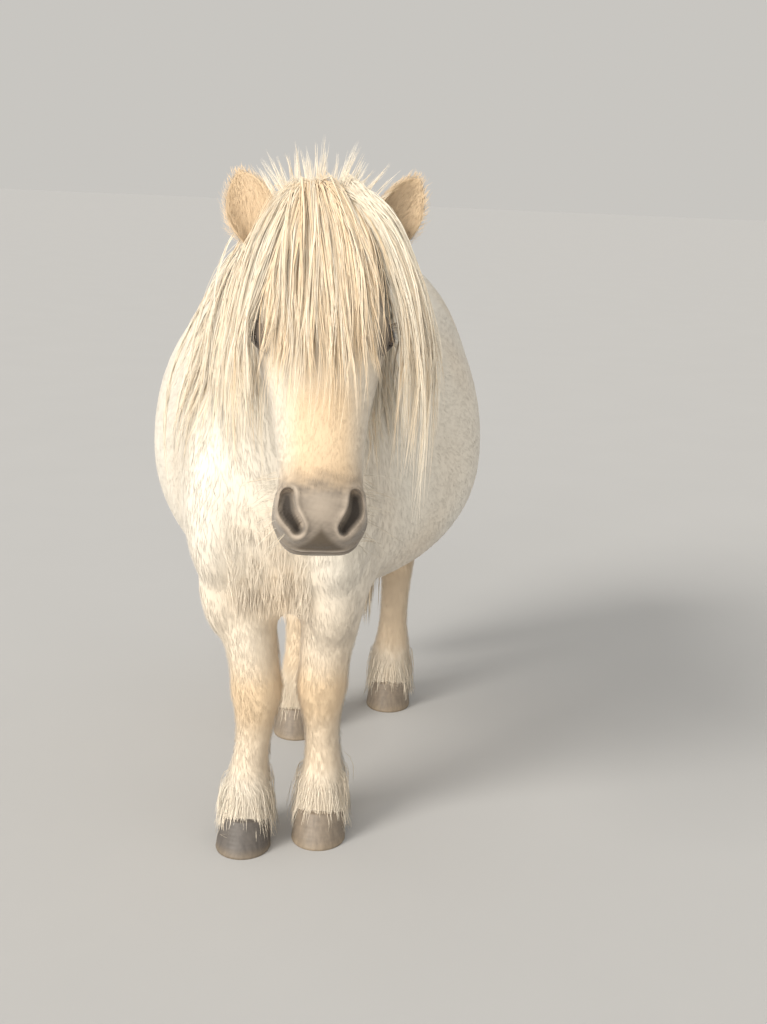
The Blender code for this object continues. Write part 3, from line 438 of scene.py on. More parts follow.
def leg_middle(leg, height):
    """The X and Y of the middle of a leg at each height."""
    x, y = FEET[leg]
    line = np.array([(0.0, x, y), (FETLOCK_HEIGHT, x, y + FETLOCK_BACK), *LEG_LINES[leg][::-1]])
    return smooth_between(line[:, 0], line[:, 1:], height)


def leg_rings(leg, count=32, sides=24):
    """One leg from inside its hoof up into the trunk."""
    sections = np.array(FRONT_SECTIONS if "front" in leg else HIND_SECTIONS)[::-1]
    height = np.linspace(sections[0, 0], sections[-1, 0], count)
    half_across, half_depth = smooth_between(sections[:, 0], sections[:, 1:], height).T
    middles = np.column_stack([leg_middle(leg, height), height])
    across = np.tile([1.0, 0.0, 0.0], (count, 1))
    fore = np.tile([0.0, 1.0, 0.0], (count, 1))
    return oval_rings(middles, across, fore, half_across, half_depth, half_depth, sides, 2.2)


def egg_rings(middle, radii, axes, count=14, sides=20):
    """An egg: rings of latitude about the first axis, the axes given as rows."""
    polar = np.linspace(0.06, math.pi - 0.06, count)[:, None]
    turn = np.linspace(0.0, 2 * math.pi, sides, endpoint=False)[None, :]
    flat = np.stack([
        np.cos(polar) + 0 * turn, np.sin(polar) * np.cos(turn), np.sin(polar) * np.sin(turn)
    ], axis=-1)
    return middle + (flat * np.asarray(radii)) @ axes


def muscle_rings():
    """Every muscle of the body and every swelling of the head, on both sides."""
    made = []
    for (x, y, z), radii, lean in BODY_MUSCLES:
        tilt = math.radians(lean)
        axes = np.array([
            [1, 0, 0], [0, math.cos(tilt), math.sin(tilt)], [0, -math.sin(tilt), math.cos(tilt)]
        ])
        for side in (-1, 1):
            made.append(egg_rings(np.array([float(spine_swing(y)) + x * side, y, z]), radii, axes))
    for (along, out, left), radii in HEAD_MUSCLES:
        for side in (-1, 1):
            made.append(egg_rings(on_head((along, out, left * side)), radii, head_frame()))
    return made


def outward(points, triangles):
    """The triangles turned so that the closed surface faces out, told by its signed volume."""
    a, b, c = (points[triangles[:, k]] for k in range(3))
    return triangles if dot(a, np.cross(b, c)).sum() > 0 else triangles[:, ::-1]


def round_faces(rows, sides, steps):
    """Two triangles for each square between rings of points, over so many steps of rings."""
    i, j = np.meshgrid(np.arange(steps), np.arange(sides), indexing="ij")
    n, k = (i + 1) % rows, (j + 1) % sides
    a, b, c, d = (x.ravel() for x in (
        i * sides + j, i * sides + k, n * sides + k, n * sides + j))
    return np.concatenate([np.stack([a, b, c], 1), np.stack([a, c, d], 1)])

def loft(rings):
    """A closed surface through rings (count, sides, 3), with a point in each end."""
    count, sides, _ = rings.shape
    turn = np.arange(sides)
    after = (turn + 1) % sides
    last = (count - 1) * sides
    first_end = np.full(sides, count * sides)
    triangles = np.concatenate([
        round_faces(count, sides, count - 1),
        np.stack([after, turn, first_end], 1),
        np.stack([last + turn, last + after, first_end + 1], 1),
    ])
    points = np.concatenate([rings.reshape(-1, 3), rings[:1].mean(1), rings[-1:].mean(1)])
    return points, outward(points, triangles)


def joined(parts):
    """Several surfaces, each points and triangles, as one."""
    starts = np.cumsum([0] + [len(points) for points, _ in parts[:-1]])
    points = np.concatenate([points for points, _ in parts])
    triangles = np.concatenate([faces + start for (_, faces), start in zip(parts, starts)])
    return points, triangles


def mesh_of(name, points, faces):
    """A mesh of these points and of faces given as rows of vertex numbers."""
    mesh = bpy.data.meshes.new(name)
    count, corners = faces.shape
    mesh.vertices.add(len(points))
    mesh.vertices.foreach_set("co", np.ascontiguousarray(points, np.float32).ravel())
    mesh.loops.add(count * corners)
    mesh.loops.foreach_set("vertex_index", np.ascontiguousarray(faces, np.int32).ravel())
    mesh.polygons.add(count)
    mesh.polygons.foreach_set("loop_start", np.arange(0, count * corners, corners, dtype=np.int32))
    mesh.polygons.foreach_set("use_smooth", np.ones(count, bool))
    mesh.update(calc_edges=True)
    return mesh


def show(name, mesh, material, replaces=()):
    """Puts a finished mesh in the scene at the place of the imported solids."""
    co = np.empty(len(mesh.vertices) * 3, np.float32)
    mesh.vertices.foreach_get("co", co)
    mesh.vertices.foreach_set("co", (co.reshape(-1, 3) + SHIFT).astype(np.float32).ravel())
    mesh.update()
    mesh.materials.clear()
    mesh.materials.append(material)
    obj = bpy.data.objects.new(name, mesh)
    bpy.context.scene.collection.objects.link(obj)
    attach(obj, "root")
    if replaces:
        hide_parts(*replaces)
    return obj


def add_colours(mesh, colours):
    """Stores a colour for each point as the attribute that the materials read."""
    layer = mesh.color_attributes.new("coat_colour", "FLOAT_COLOR", "POINT")
    full = np.ones((len(colours), 4), np.float32)
    full[:, :3] = np.clip(colours, 0.0, 1.0)
    layer.data.foreach_set("color", full.ravel())


def add_bake_map(mesh, places):
    """Stores a place on the OFBake map for each point."""
    layer = mesh.uv_layers.new(name="OFBake")
    corners = np.empty(len(mesh.loops), np.int32)
    mesh.loops.foreach_get("vertex_index", corners)
    layer.uv.foreach_set("vector", places[corners].astype(np.float32).ravel())


def read_points(mesh):
    """The points of a mesh and the way out at each."""
    count = len(mesh.vertices)
    points = np.empty(count * 3, np.float32)
    normals = np.empty(count * 3, np.float32)
    mesh.vertices.foreach_get("co", points)
    mesh.vertex_normals.foreach_get("vector", normals)
    return points.reshape(-1, 3).astype(float), normals.reshape(-1, 3).astype(float)


def read_triangles(mesh):
    """The triangles of a mesh, as rows of vertex numbers."""
    mesh.calc_loop_triangles()
    triangles = np.empty(len(mesh.loop_triangles) * 3, np.int32)
    mesh.loop_triangles.foreach_get("vertices", triangles)
    return triangles.reshape(-1, 3)

def write_points(mesh, points):
    """Moves the points of a mesh."""
    mesh.vertices.foreach_set("co", points.astype(np.float32).ravel())
    mesh.update()


def mesh_edges(mesh):
    """The two ends of each edge."""
    ends = np.empty(len(mesh.edges) * 2, np.int32)
    mesh.edges.foreach_get("vertices", ends)
    return ends.reshape(-1, 2)


def relax(mesh, weight, times):
    """Moves each point towards the mean of its neighbours by its weight, so many times."""
    points, _ = read_points(mesh)
    ends = mesh_edges(mesh)
    both = np.concatenate([ends, ends[:, ::-1]])
    count = np.maximum(np.bincount(both[:, 0], minlength=len(points)), 1)[:, None]
    for _ in range(times):
        total = np.stack([
            np.bincount(both[:, 0], points[both[:, 1], k], minlength=len(points)) for k in range(3)
        ], axis=1)
        points += (total / count - points) * weight[:, None]
    write_points(mesh, points)


def with_modifiers(mesh, steps):
    """The mesh after these modifiers: each a kind and its settings."""
    obj = bpy.data.objects.new("work", mesh)
    bpy.context.scene.collection.objects.link(obj)
    for kind, settings in steps:
        step = obj.modifiers.new(kind.lower(), kind)
        for key, value in settings.items():
            setattr(step, key, value)
    graph = bpy.context.evaluated_depsgraph_get()
    graph.update()
    made = bpy.data.meshes.new_from_object(obj.evaluated_get(graph))
    bpy.data.objects.remove(obj)
    bpy.data.meshes.remove(mesh)
    return made


def split_faces(mesh, inside):
    """Splits every face whose middle is inside into four."""
    middles = np.empty(len(mesh.polygons) * 3, np.float32)
    mesh.polygons.foreach_get("center", middles)
    mesh.polygons.foreach_set("select", inside(middles.reshape(-1, 3).astype(float)))
    work = bmesh.new()
    work.from_mesh(mesh)
    edges = list({edge for face in work.faces if face.select for edge in face.edges})
    bmesh.ops.subdivide_edges(work, edges=edges, cuts=1, use_grid_fill=True)
    work.to_mesh(mesh)
    work.free()
    mesh.update()


def fused(parts, voxel, smoothing):
    """Several closed surfaces melted into one smooth mesh."""
    mesh = mesh_of("fused", *joined(parts))
    return with_modifiers(mesh, [
        ("REMESH", {"mode": "VOXEL", "voxel_size": voxel}),
        ("SMOOTH", {"factor": 0.5, "iterations": smoothing}),
    ])


def tree_of(mesh):
    """A search tree of a mesh's faces."""
    points, _ = read_points(mesh)
    return BVHTree.FromPolygons(points.tolist(), read_triangles(mesh).tolist())


def nearest(tree, points):
    """The closest place on a surface to each point, and the way that it faces there."""
    found = [tree.find_nearest(point)[:2] for point in points.reshape(-1, 3).tolist()]
    near = np.array([place[:] for place, _ in found]).reshape(points.shape)
    facing = np.array([normal[:] for _, normal in found]).reshape(points.shape)
    return near, facing


def landing(tree, starts, ways):
    """Where rays from the starts first meet a surface, and the way that it faces there."""
    ways = np.broadcast_to(ways, starts.shape)
    found = [tree.ray_cast(start, way)[:2] for start, way in zip(starts.tolist(), ways.tolist())]
    missed = [place is None for place, _ in found]
    if any(missed):
        raise ValueError("a ray misses the skin")
    return np.array([p[:] for p, _ in found]), np.array([n[:] for _, n in found])


def head_share(points):
    """1 on the head, 0 on the neck and the body."""
    return ramp(points[:, 1], -0.525, -0.585) * ramp(points[:, 2], 0.50, 0.56)


def leg_share(points):
    """1 on the legs below the elbow and the stifle, 0 on the trunk."""
    front = ramp(points[:, 2], 0.43, 0.34) * (points[:, 1] < -0.10)
    cut = 0.290 + 0.455 * points[:, 1]
    hind = ramp(points[:, 2] - cut, 0.05, -0.05) * (points[:, 1] >= -0.10)
    return np.maximum(front, hind)


def coat_depth(points):
    """How far the skin lies inside the tips of the short coat."""
    depth = np.full(len(points), 0.0050)
    depth += (0.0042 - depth) * leg_share(points)
    along = head_places(points)[:, 0]
    face = 0.0034 - 0.0024 * ramp(along, 0.16, 0.36)
    return depth + (face - depth) * head_share(points)


def eye_frame(side):
    """The middle of an eyeball, and the ways it faces, along the lids and up."""
    start = on_head((EYE_ALONG, EYE_OUT, 0.3 * side))
    place, _ = landing(flesh_tree(), start[None], -FACE_LEFT * side)
    middle = place[0] - FACE_LEFT * side * (EYE_RADIUS - EYE_SHOWING)
    facing = unit(FACE_LEFT * side + FACE_OUT * 0.35)
    along = unit(FACE_DOWN - facing * dot(FACE_DOWN, facing))
    up = np.cross(along, facing)
    up = up if dot(up, FACE_OUT) > 0 else -up
    return middle, facing, along, up


def ear_profile(height):
    """Half width of an ear at a share of its length: 0.70 at its root, 1 at 0.45, 0 at its tip."""
    low = 0.70 + 0.30 * np.sin(math.pi / 2 * np.minimum(height / 0.45, 1.0))
    top = np.clip((height - 0.45) / 0.55, 0.0, 1.0)
    return low * (1.0 - top**2) ** 0.62


def ear_mesh(root, point, face, rings=34, turns=19):
    """A cupped ear: C-shaped rings up its length, wide low down and round at the tip.

    The wall reaches round from its back by an angle that shrinks towards the tip. Its
    half width grows to the middle and closes as the arc of an egg, and the tip curls
    forwards and back.
    """
    up = unit(np.array(point))
    front = unit(np.array(face) - up * dot(np.array(face), up))
    side = np.cross(up, front)
    share = np.linspace(-0.22, 1.0, rings)[:, None]
    height = np.maximum(share, 0.0)
    half = EAR_WIDTH / 2 * ear_profile(height) + 0.0022 - 0.0016
    reach = np.radians(118 - 40 * height)
    lean = 0.012 * np.sin(math.pi * height) - 0.020 * height**2
    middle = on_head(root) + share * EAR_LENGTH * up + lean * front
    across = np.linspace(-1.0, 1.0, turns)[None, :] * reach
    wall = np.minimum(EAR_WALL, half * 0.62)
    edge = 1.0 - np.abs(np.linspace(-1.0, 1.0, turns))[None, :] ** 8

    def sheet(radius):
        return (
            middle[:, None] + (np.sin(across) * radius)[..., None] * side
            - (np.cos(across) * radius * EAR_DEPTH_SHARE)[..., None] * front
        )

    outer = sheet(half - wall * 0.5 + wall * 0.5 * edge)
    inner = sheet(half - wall * 0.5 - wall * 0.5 * edge - 0.0004)
    ring = np.concatenate([outer, inner[:, ::-1]], axis=1)
    sides = 2 * turns
    walls = [round_faces(rings, sides, rings - 1)]
    t = np.arange(turns - 1)
    for first, flip in ((0, 1), ((rings - 1) * sides, -1)):
        near, far = first + t, first + sides - 1 - t
        cap = np.concatenate([np.stack([near, far, near + 1], 1),
                              np.stack([far, far - 1, near + 1], 1)])
        walls.append(cap[:, ::flip])
    points = ring.reshape(-1, 3)
    return points, outward(points, np.concatenate(walls))


def held_off(points, tree, clear):
    """The points, each moved out to its clearance where it is nearer the skin or inside it."""
    near, facing = nearest(tree, points)
    gap = points - near
    outside = dot(gap, facing) > 0
    away = np.where(outside[..., None], unit(gap), facing)
    low = ~outside | (np.linalg.norm(gap, axis=-1) < clear)
    return np.where(low[..., None], near + away * clear[..., None], points)

def hang(roots, normals, headings, lengths, tree, clear, droop, steps=12, sunk=0.006):
    """Paths of many hairs at once, (hairs, steps + 1, 3).

    Each leaves its root along its heading, turns down over the length of its droop, and
    is held off the skin by its clearance, which grows from its root on.
    """
    paths = [roots - normals * sunk]
    place = roots
    heading = unit(headings)
    stride = (lengths / steps)[:, None]
    pull = np.minimum(0.9, stride / np.reshape(droop, (-1, 1)))
    clear = np.broadcast_to(clear, lengths.shape)
    for k in range(steps):
        heading = unit(heading * (1 - pull) + DOWN * pull)
        place = place + heading * stride
        place = held_off(place, tree, clear * min(1.0, 0.15 + 1.6 * (k + 1) / steps))
        place[:, 2] = np.maximum(place[:, 2], 0.012)
        paths.append(place)
    return np.stack(paths, axis=1)


def dock_rings(sides=20):
    """The fleshy part of the tail: round rings along a path over the rump and down."""
    normal = np.array([0.0, 0.75, 0.66])
    path = hang(TAIL_ROOT[None], normal[None], np.array([[0.0, 1.0, 0.15]]),
                np.array([DOCK_LENGTH]), flesh_tree(), DOCK_RADIUS * 0.9, 0.05, 8, 0.030)[0]
    ahead = unit(np.gradient(path, axis=0))
    across = np.tile([1.0, 0.0, 0.0], (len(path), 1))
    up = unit(np.cross(across, ahead))
    radii = DOCK_RADIUS * (1.0 - 0.62 * np.linspace(0, 1, len(path))) - 0.003
    return oval_rings(path, across, up, radii, radii, radii, sides, 2.0)


# Axis of each nostril on the muzzle, along and to the side of the poll's line, from
# its top to its lower end, and the half width of the opening there
NOSTRIL_LINE = ((0.364, 0.0440, 0.0085), (0.386, 0.0430, 0.0105), (0.406, 0.0300, 0.0080))
NOSTRIL_DEPTH = 0.021
MOUTH_LINE = ((0.330, -0.092), (0.375, -0.078), (0.405, -0.066), (0.430, -0.057), (0.445, -0.056))


def nostril_distance(places, side):
    """How far outside the edge of a nostril's opening each place is, and less than 0 inside."""
    line = np.array(NOSTRIL_LINE)
    along, apart, half = smooth_between(np.linspace(0, 1, 3), line, np.linspace(0, 1, 15)).T
    gap = np.hypot(places[:, :1] - along, places[:, 2:] * side - apart) - half
    return gap.min(axis=1)


def mouth_distance(places):
    """How far each place is above the line of the mouth, out of the face."""
    line = np.array(MOUTH_LINE)
    return places[:, 1] - np.interp(places[:, 0], line[:, 0], line[:, 1])


def carve_muzzle(points, normals):
    """Hollows the nostrils, raises their rims, and parts the lips."""
    places = head_places(points)
    along, out, left = places.T
    moved = points.copy()
    front = (along > 0.34) & (out > -0.075)
    for side in (-1, 1):
        gap = nostril_distance(places, side)
        deep = np.sqrt(np.clip(1.0 - (1.0 + gap / 0.010).clip(0, 1) ** 2, 0.0, 1.0))
        deep = np.where(front & (left * side > 0), deep, 0.0)
        way = unit(-FACE_OUT - 0.55 * FACE_DOWN - FACE_LEFT * side * 0.25)
        moved += way * (NOSTRIL_DEPTH * deep)[:, None]
        rim = np.exp(-(((gap - 0.0035) / 0.0040) ** 2)) * front * (left * side > 0)
        moved += normals * (0.0028 * rim)[:, None]
    lips = mouth_distance(places)
    fade = ramp(along, 0.335, 0.360)
    moved -= normals * (0.0055 * fade * np.exp(-((lips / 0.0022) ** 2)))[:, None]
    moved += normals * (0.0022 * fade * np.exp(-(((lips - 0.0085) / 0.0060) ** 2)))[:, None]
    moved += normals * (0.0018 * fade * np.exp(-(((lips + 0.0090) / 0.0060) ** 2)))[:, None]
    return moved


def sink_sockets(points):
    """Presses the skin in behind the lids of both eyes."""
    moved = points.copy()
    for side in (-1, 1):
        middle, facing, along, up = eye_frame(side)
        gap = points - middle
        flat = np.hypot(dot(gap, along) / 1.15, dot(gap, up))
        depth = 0.013 * ramp(flat, 0.0215, 0.0165) * (dot(gap, facing) > -0.004)
        moved -= facing * depth[:, None]
    return moved


def lid_ring(side, turns=72):
    """The upper and lower lid of one eye: a closed profile carried round the opening.

    The profile starts at the rim, runs out over the eyeball into a soft fold, and dives
    into the skin. The opening is an almond about the way along the lids.
    """
    middle, facing, along, up = eye_frame(side)
    turn = np.linspace(0, 2 * math.pi, turns, endpoint=False)
    wide = np.sign(np.cos(turn)) * np.abs(np.cos(turn)) ** 1.25
    high = np.sign(np.sin(turn)) * np.abs(np.sin(turn)) ** 1.05
    tilt = np.radians(np.where(high > 0, 33.0, 25.0)) * high
    swing = np.radians(56.0) * wide

    def on_ball(radius, grow):
        """Places over the eyeball, the almond widened by an angle."""
        reach = np.hypot(swing, tilt)
        share = (reach + math.radians(grow)) / reach
        u, v = swing * share, tilt * share
        angle = np.hypot(u, v)
        spot = np.cos(angle)[:, None] * facing
        spot = spot + (np.sin(angle) / angle)[:, None] * (u[:, None] * along + v[:, None] * up)
        return middle + spot * radius

    corner = np.abs(wide)[:, None] ** 3
    edge = on_ball(EYE_RADIUS + 0.0003, 0.0)
    lip = on_ball(EYE_RADIUS + 0.0019, 1.0)
    brow = on_ball(EYE_RADIUS + 0.0030, 12.0)
    flat = np.cos(turn)[:, None] * along * 0.0260 + np.sin(turn)[:, None] * up * 0.0225
    start = middle + flat + facing * 0.06
    ground, _ = landing(flesh_tree(), start, -facing)
    rim = ground - facing * 0.0030
    under = ground - facing * 0.0075
    fold = (brow + ground) / 2 + facing * np.where(high > 0, 0.0010, 0.0002)[:, None]
    crease = brow * 0.72 + ground * 0.28 - facing * np.where(high > 0, 0.0011, 0.0002)[:, None]
    hidden = on_ball(EYE_RADIUS + 0.0002, 26.0)
    lip = lip * (1 - 0.25 * corner) + edge * 0.25 * corner
    rows = np.stack([edge, lip, brow, crease, fold, rim, under, hidden])
    count, fine = len(rows), 40
    closed = np.concatenate([rows[-2:], rows, rows[:2]])
    knots = np.arange(-2, count + 2, dtype=float)
    where = np.linspace(0, count, fine, endpoint=False)
    rings = smooth_between(knots, closed.reshape(len(closed), -1), where).reshape(fine, turns, 3)
    points = rings.reshape(-1, 3)
    return points, outward(points, round_faces(fine, turns, fine))


def near_eyes(points, reach):
    """Which places are near either eye."""
    places = head_places(points)
    flat = np.hypot(places[:, 0] - EYE_ALONG, places[:, 1] - EYE_OUT)
    return (flat < reach) & (np.abs(places[:, 2]) > 0.045)


@cache
def flesh_tree():
    """The surface that the solids were cut from, as a search tree."""
    return tree_of(flesh_mesh())


def flesh_mesh():
    """The body without ears, hooves and hair, out to the tips of its coat."""
    rings = [torso_rings(), neck_rings(), head_rings(), *map(leg_rings, FEET), *muscle_rings()]
    return fused([loft(ring) for ring in rings], FLESH_VOXEL, FLESH_SMOOTHING)


def with_pieces(mesh, pieces):
    """The mesh fused with closed pieces by a Boolean union."""
    group = bpy.data.collections.new("pieces")
    bpy.context.scene.collection.children.link(group)
    for points, triangles in pieces:
        group.objects.link(bpy.data.objects.new("piece", mesh_of("piece", points, triangles)))
    made = with_modifiers(mesh, [("BOOLEAN", {
        "operation": "UNION", "solver": "MANIFOLD", "operand_type": "COLLECTION",
        "collection": group,
    })])
    for obj in list(group.objects):
        bpy.data.objects.remove(obj)
    bpy.data.collections.remove(group)
    return made


@cache
def skin():
    """The one skin of the pony: its mesh and its search tree."""
    mesh = flesh_mesh()
    points, normals = read_points(mesh)
    write_points(mesh, points - normals * coat_depth(points)[:, None])
    split_faces(mesh, lambda middles: head_share(middles) > 0.3)
    split_faces(mesh, lambda middles: (
        (head_places(middles)[:, 0] > 0.330) | near_eyes(middles, 0.045)))
    split_faces(mesh, lambda middles: (head_places(middles)[:, 0] > 0.352)
                & (head_places(middles)[:, 1] > -0.100))
    points, _ = read_points(mesh)
    relax(mesh, 0.5 * head_share(points), 6)
    roots = np.array([on_head(root) for root, _, _ in EARS])
    mesh = with_pieces(mesh, [*(ear_mesh(*ear) for ear in EARS), loft(dock_rings())])
    points, _ = read_points(mesh)
    by_ear = np.linalg.norm(points[:, None] - roots, axis=2).min(axis=1)
    by_dock = np.linalg.norm(points - TAIL_ROOT, axis=1)
    blend = np.maximum(ramp(by_ear, 0.045, 0.030), ramp(by_dock, 0.075, 0.050))
    relax(mesh, 0.5 * blend, 8)
    points, normals = read_points(mesh)
    points = sink_sockets(carve_muzzle(points, normals))
    write_points(mesh, points)
    fine = head_places(points)[:, 0] > 0.33
    relax(mesh, 0.35 * fine, 2)
    return mesh, tree_of(mesh)


def coat_colours(points):
    """Colour of the coat at each point.

    Cream all over, peach down the legs, on the ears and along the ridge of the face, and
    bare grey-brown skin round the nostrils and the lips. Painted shade darkens the nostrils,
    the line of the mouth and partly the peach of the breast, and painted highlights pale
    both lips.
    """
    look = bpy.context.scene.pony_coat
    cream, peach, bare = (np.array(c[:]) for c in (look.cream, look.peach, look.muzzle))
    places = head_places(points)
    along, out, left = places.T
    head = head_share(points)
    # Peach on the middle of the breast: partly the coat's own colour, partly painted shade under the
    # head and between the forelegs.
    breast = np.exp(-(((points[:, 0] - 0.01) / 0.075) ** 2)) * ramp(points[:, 1], -0.30, -0.40)
    breast = breast * ramp(points[:, 2], 0.70, 0.58) * ramp(points[:, 2], 0.36, 0.44)
    cloud = wavy(points, 0.16, 3)
    speck = wavy(points, 0.018, 4)
    colour = mix(np.tile(cream, (len(points), 1)), peach, 0.10 + 0.08 * cloud + 0.34 * breast)
    front = points[:, 1] < 0.02
    low = np.where(front, ramp(points[:, 2], 0.56, 0.26), ramp(points[:, 2], 0.62, 0.40))
    knee = np.exp(-(((points[:, 2] - 0.262) / 0.055) ** 2)) * front
    pastern = ramp(points[:, 2], 0.145, 0.095)
    leg = 0.54 * low + 0.60 * knee * low + 0.20 * low * ~front
    colour = mix(colour, peach, np.clip(leg * (1 - 0.55 * pastern) + 0.06 * cloud, 0, 1))
    ridge = ramp(along, 0.17, 0.25) * ramp(np.abs(left), 0.066, 0.022) * ramp(out, -0.075, -0.02)
    brow = ramp(along, 0.22, 0.16) * ramp(out, -0.08, -0.03)
    cheek = 0.22 * ramp(out, -0.04, -0.10) * ramp(along, 0.30, 0.18)
    ear = ear_share(points)
    warm = np.clip(0.88 * ridge + 0.42 * brow + cheek + 0.65 * ear + 0.12, 0.0, 1.0) * head
    colour = mix(colour, peach, warm)
    fine = wavy(points, 0.0055, 9)
    skin_edge = 0.352 + 0.005 * speck + 0.002 * fine + 0.012 * ramp(out, -0.02, -0.08)
    dusk = 0.50 * ramp(along, skin_edge - 0.050, skin_edge - 0.004) * ramp(out, -0.075, -0.03)
    colour = mix(colour, peach * np.array([0.66, 0.62, 0.60]), dusk * head)
    bald = ramp(along, skin_edge - 0.028, skin_edge + 0.018) * head
    colour = mix(colour, bare * (1.0 + 0.14 * speck + 0.08 * fine)[:, None], bald)
    between = np.exp(-((left / 0.022) ** 2)) * ramp(along, 0.355, 0.372) * ramp(along, 0.412, 0.388)
    colour = mix(colour, bare * 1.75, 0.75 * between * bald * (out > -0.05))
    lips = mouth_distance(places)
    beak = ramp(lips + 1.20 * np.abs(left), 0.058, 0.042) * ramp(lips, 0.006, 0.014)
    colour = mix(colour, bare * np.array([0.38, 0.34, 0.28]),
                 0.90 * beak * ramp(along, 0.375, 0.395))
    for side in (-1, 1):
        gap = nostril_distance(places, side)
        on_side = (left * side > 0) & (out > -0.085)
        rim = np.exp(-(((gap - 0.0035) / 0.0026) ** 2))
        rim = rim * (0.75 + 0.45 * wavy(points, 0.03, 12 + side))
        colour = mix(colour, bare * 2.3, np.clip(0.62 * rim * on_side * bald, 0, 1))
        # Painted shade inside each nostril: darker grey-brown in its hollow and near black deep in.
        hollow = ramp(gap, 0.0005, -0.0030) * on_side * bald
        colour = mix(colour, bare * 0.55, hollow)
        colour = mix(colour, np.array([0.020, 0.015, 0.012]),
                     0.75 * hollow * ramp(gap, -0.0030, -0.0065))
    # Painted highlight: the lower lip and chin below the mouth line made paler.
    chin = ramp(lips, -0.004, -0.020) * head * ramp(along, 0.32, 0.36)
    colour = mix(colour, bare * 1.9, 0.50 * chin * bald)
    # Painted highlight along the edge of the upper lip, just above the mouth line.
    lip = np.exp(-(((lips - 0.0080) / 0.0034) ** 2)) * ramp(np.abs(left), 0.040, 0.026)
    colour = mix(colour, bare * 2.4, 0.60 * lip * bald)
    # Painted shade: a near-black line along the mouth where the lips part.
    colour = mix(colour, np.array([0.05, 0.04, 0.035]), np.exp(-((lips / 0.0022) ** 2)) * bald)
    by_eye = np.hypot((along - EYE_ALONG - 0.001) / 1.15, out - EYE_OUT - 0.005)
    lid = ramp(by_eye, 0.0310, 0.0200) * (np.abs(left) > 0.045)
    return mix(colour, np.array([0.085, 0.060, 0.045]), 0.85 * lid * head)


def by_each_ear(points):
    """For each ear, the way it points, how far up it each place is and how far off its middle."""
    for root, point, _ in EARS:
        up = unit(np.array(point))
        gap = points - on_head(root)
        rise = dot(gap, up)
        yield np.array(point), rise, np.linalg.norm(gap - rise[:, None] * up, axis=1)

def lie_of(points, normals):
    """The way that the short coat lies: back along the barrel, down the legs, down the face."""
    body = np.tile([0.0, 1.0, -0.45], (len(points), 1))
    chest = ramp(points[:, 1], -0.20, -0.42)
    rump = ramp(points[:, 1], 0.18, 0.42)
    way = mix(body, np.array([0.0, 0.10, -1.0]), np.maximum(chest, 0.75 * rump))
    neck = ramp(points[:, 2] + 0.35 * points[:, 1], 0.66, 0.76) * chest
    way = mix(way, np.array([0.0, 0.85, -0.75]), neck)
    way = mix(way, np.array([0.0, 0.12, -1.0]), leg_share(points))
    places = head_places(points)
    face = FACE_DOWN - 0.55 * FACE_OUT * ramp(places[:, 1], -0.03, -0.10)[:, None]
    way = mix(way, face, head_share(points))
    for point, rise, far in by_each_ear(points):
        way = mix(way, point, ramp(rise, 0.0, 0.02) * ramp(far, 0.060, 0.045))
    way = way + 0.22 * np.stack([wavy(points, 0.14, seed) for seed in (6, 7, 8)], 1)
    return unit(way - normals * dot(way, normals)[:, None])


def tuft_length(points, normals):
    """Length of the short coat: long under the belly, on the chest and jaw, short on the face."""
    look = bpy.context.scene.pony_coat
    length = np.full(len(points), look.torso_length)
    under = ramp(normals[:, 2], -0.2, -0.8)
    length = length * (1.0 + 0.40 * under)
    length = mix(length[:, None], np.array([0.023]), ramp(points[:, 1], -0.36, -0.47))[:, 0]
    back = ramp(normals[:, 1], -0.2, 0.7)
    leg = 0.015 + 0.010 * back + 0.009 * ramp(points[:, 2], 0.16, 0.08)
    length += (leg - length) * leg_share(points)
    along, out, _ = head_places(points).T
    face = look.face_length + 0.020 * ramp(out, -0.03, -0.12) * ramp(along, 0.34, 0.22)
    face = face - 0.005 * ramp(along, 0.33, 0.37)
    face = face + 0.004 * ramp(along, 0.08, 0.0)
    face = face + (0.0062 + 0.0050 * inside_ears(points, normals) - face) * ear_share(points)
    return length + (face - length) * head_share(points)


def ear_share(points):
    """1 on the ears, 0 elsewhere."""
    found = np.zeros(len(points))
    for _, rise, far in by_each_ear(points):
        found = np.maximum(found, ramp(rise, 0.0, 0.018) * ramp(far, 0.060, 0.045))
    return found


def inside_ears(points, normals):
    """1 on the hollow side of the ears, 0 elsewhere."""
    found = np.zeros(len(points))
    for side, (_, _, face) in zip((-1, 1), EARS):
        here = head_places(points)[:, 2] * side > 0
        found = np.maximum(found, here * ramp(dot(normals, unit(np.array(face))), 0.05, 0.35))
    return found * ear_share(points)


def tuft_lift(points, normals):
    """How far the tufts stand off the skin, as a share of their length."""
    lift = 0.018 + 0.014 * ramp(points[:, 1], -0.30, -0.45)
    lift = lift + leg_share(points) * (0.10 + 0.06 * ramp(normals[:, 1], 0.0, 0.7))
    _, out, _ = head_places(points).T
    lift = lift + 0.05 * head_share(points) * ramp(out, -0.08, -0.14)
    return lift + 0.22 * ear_share(points) + 0.24 * inside_ears(points, normals)


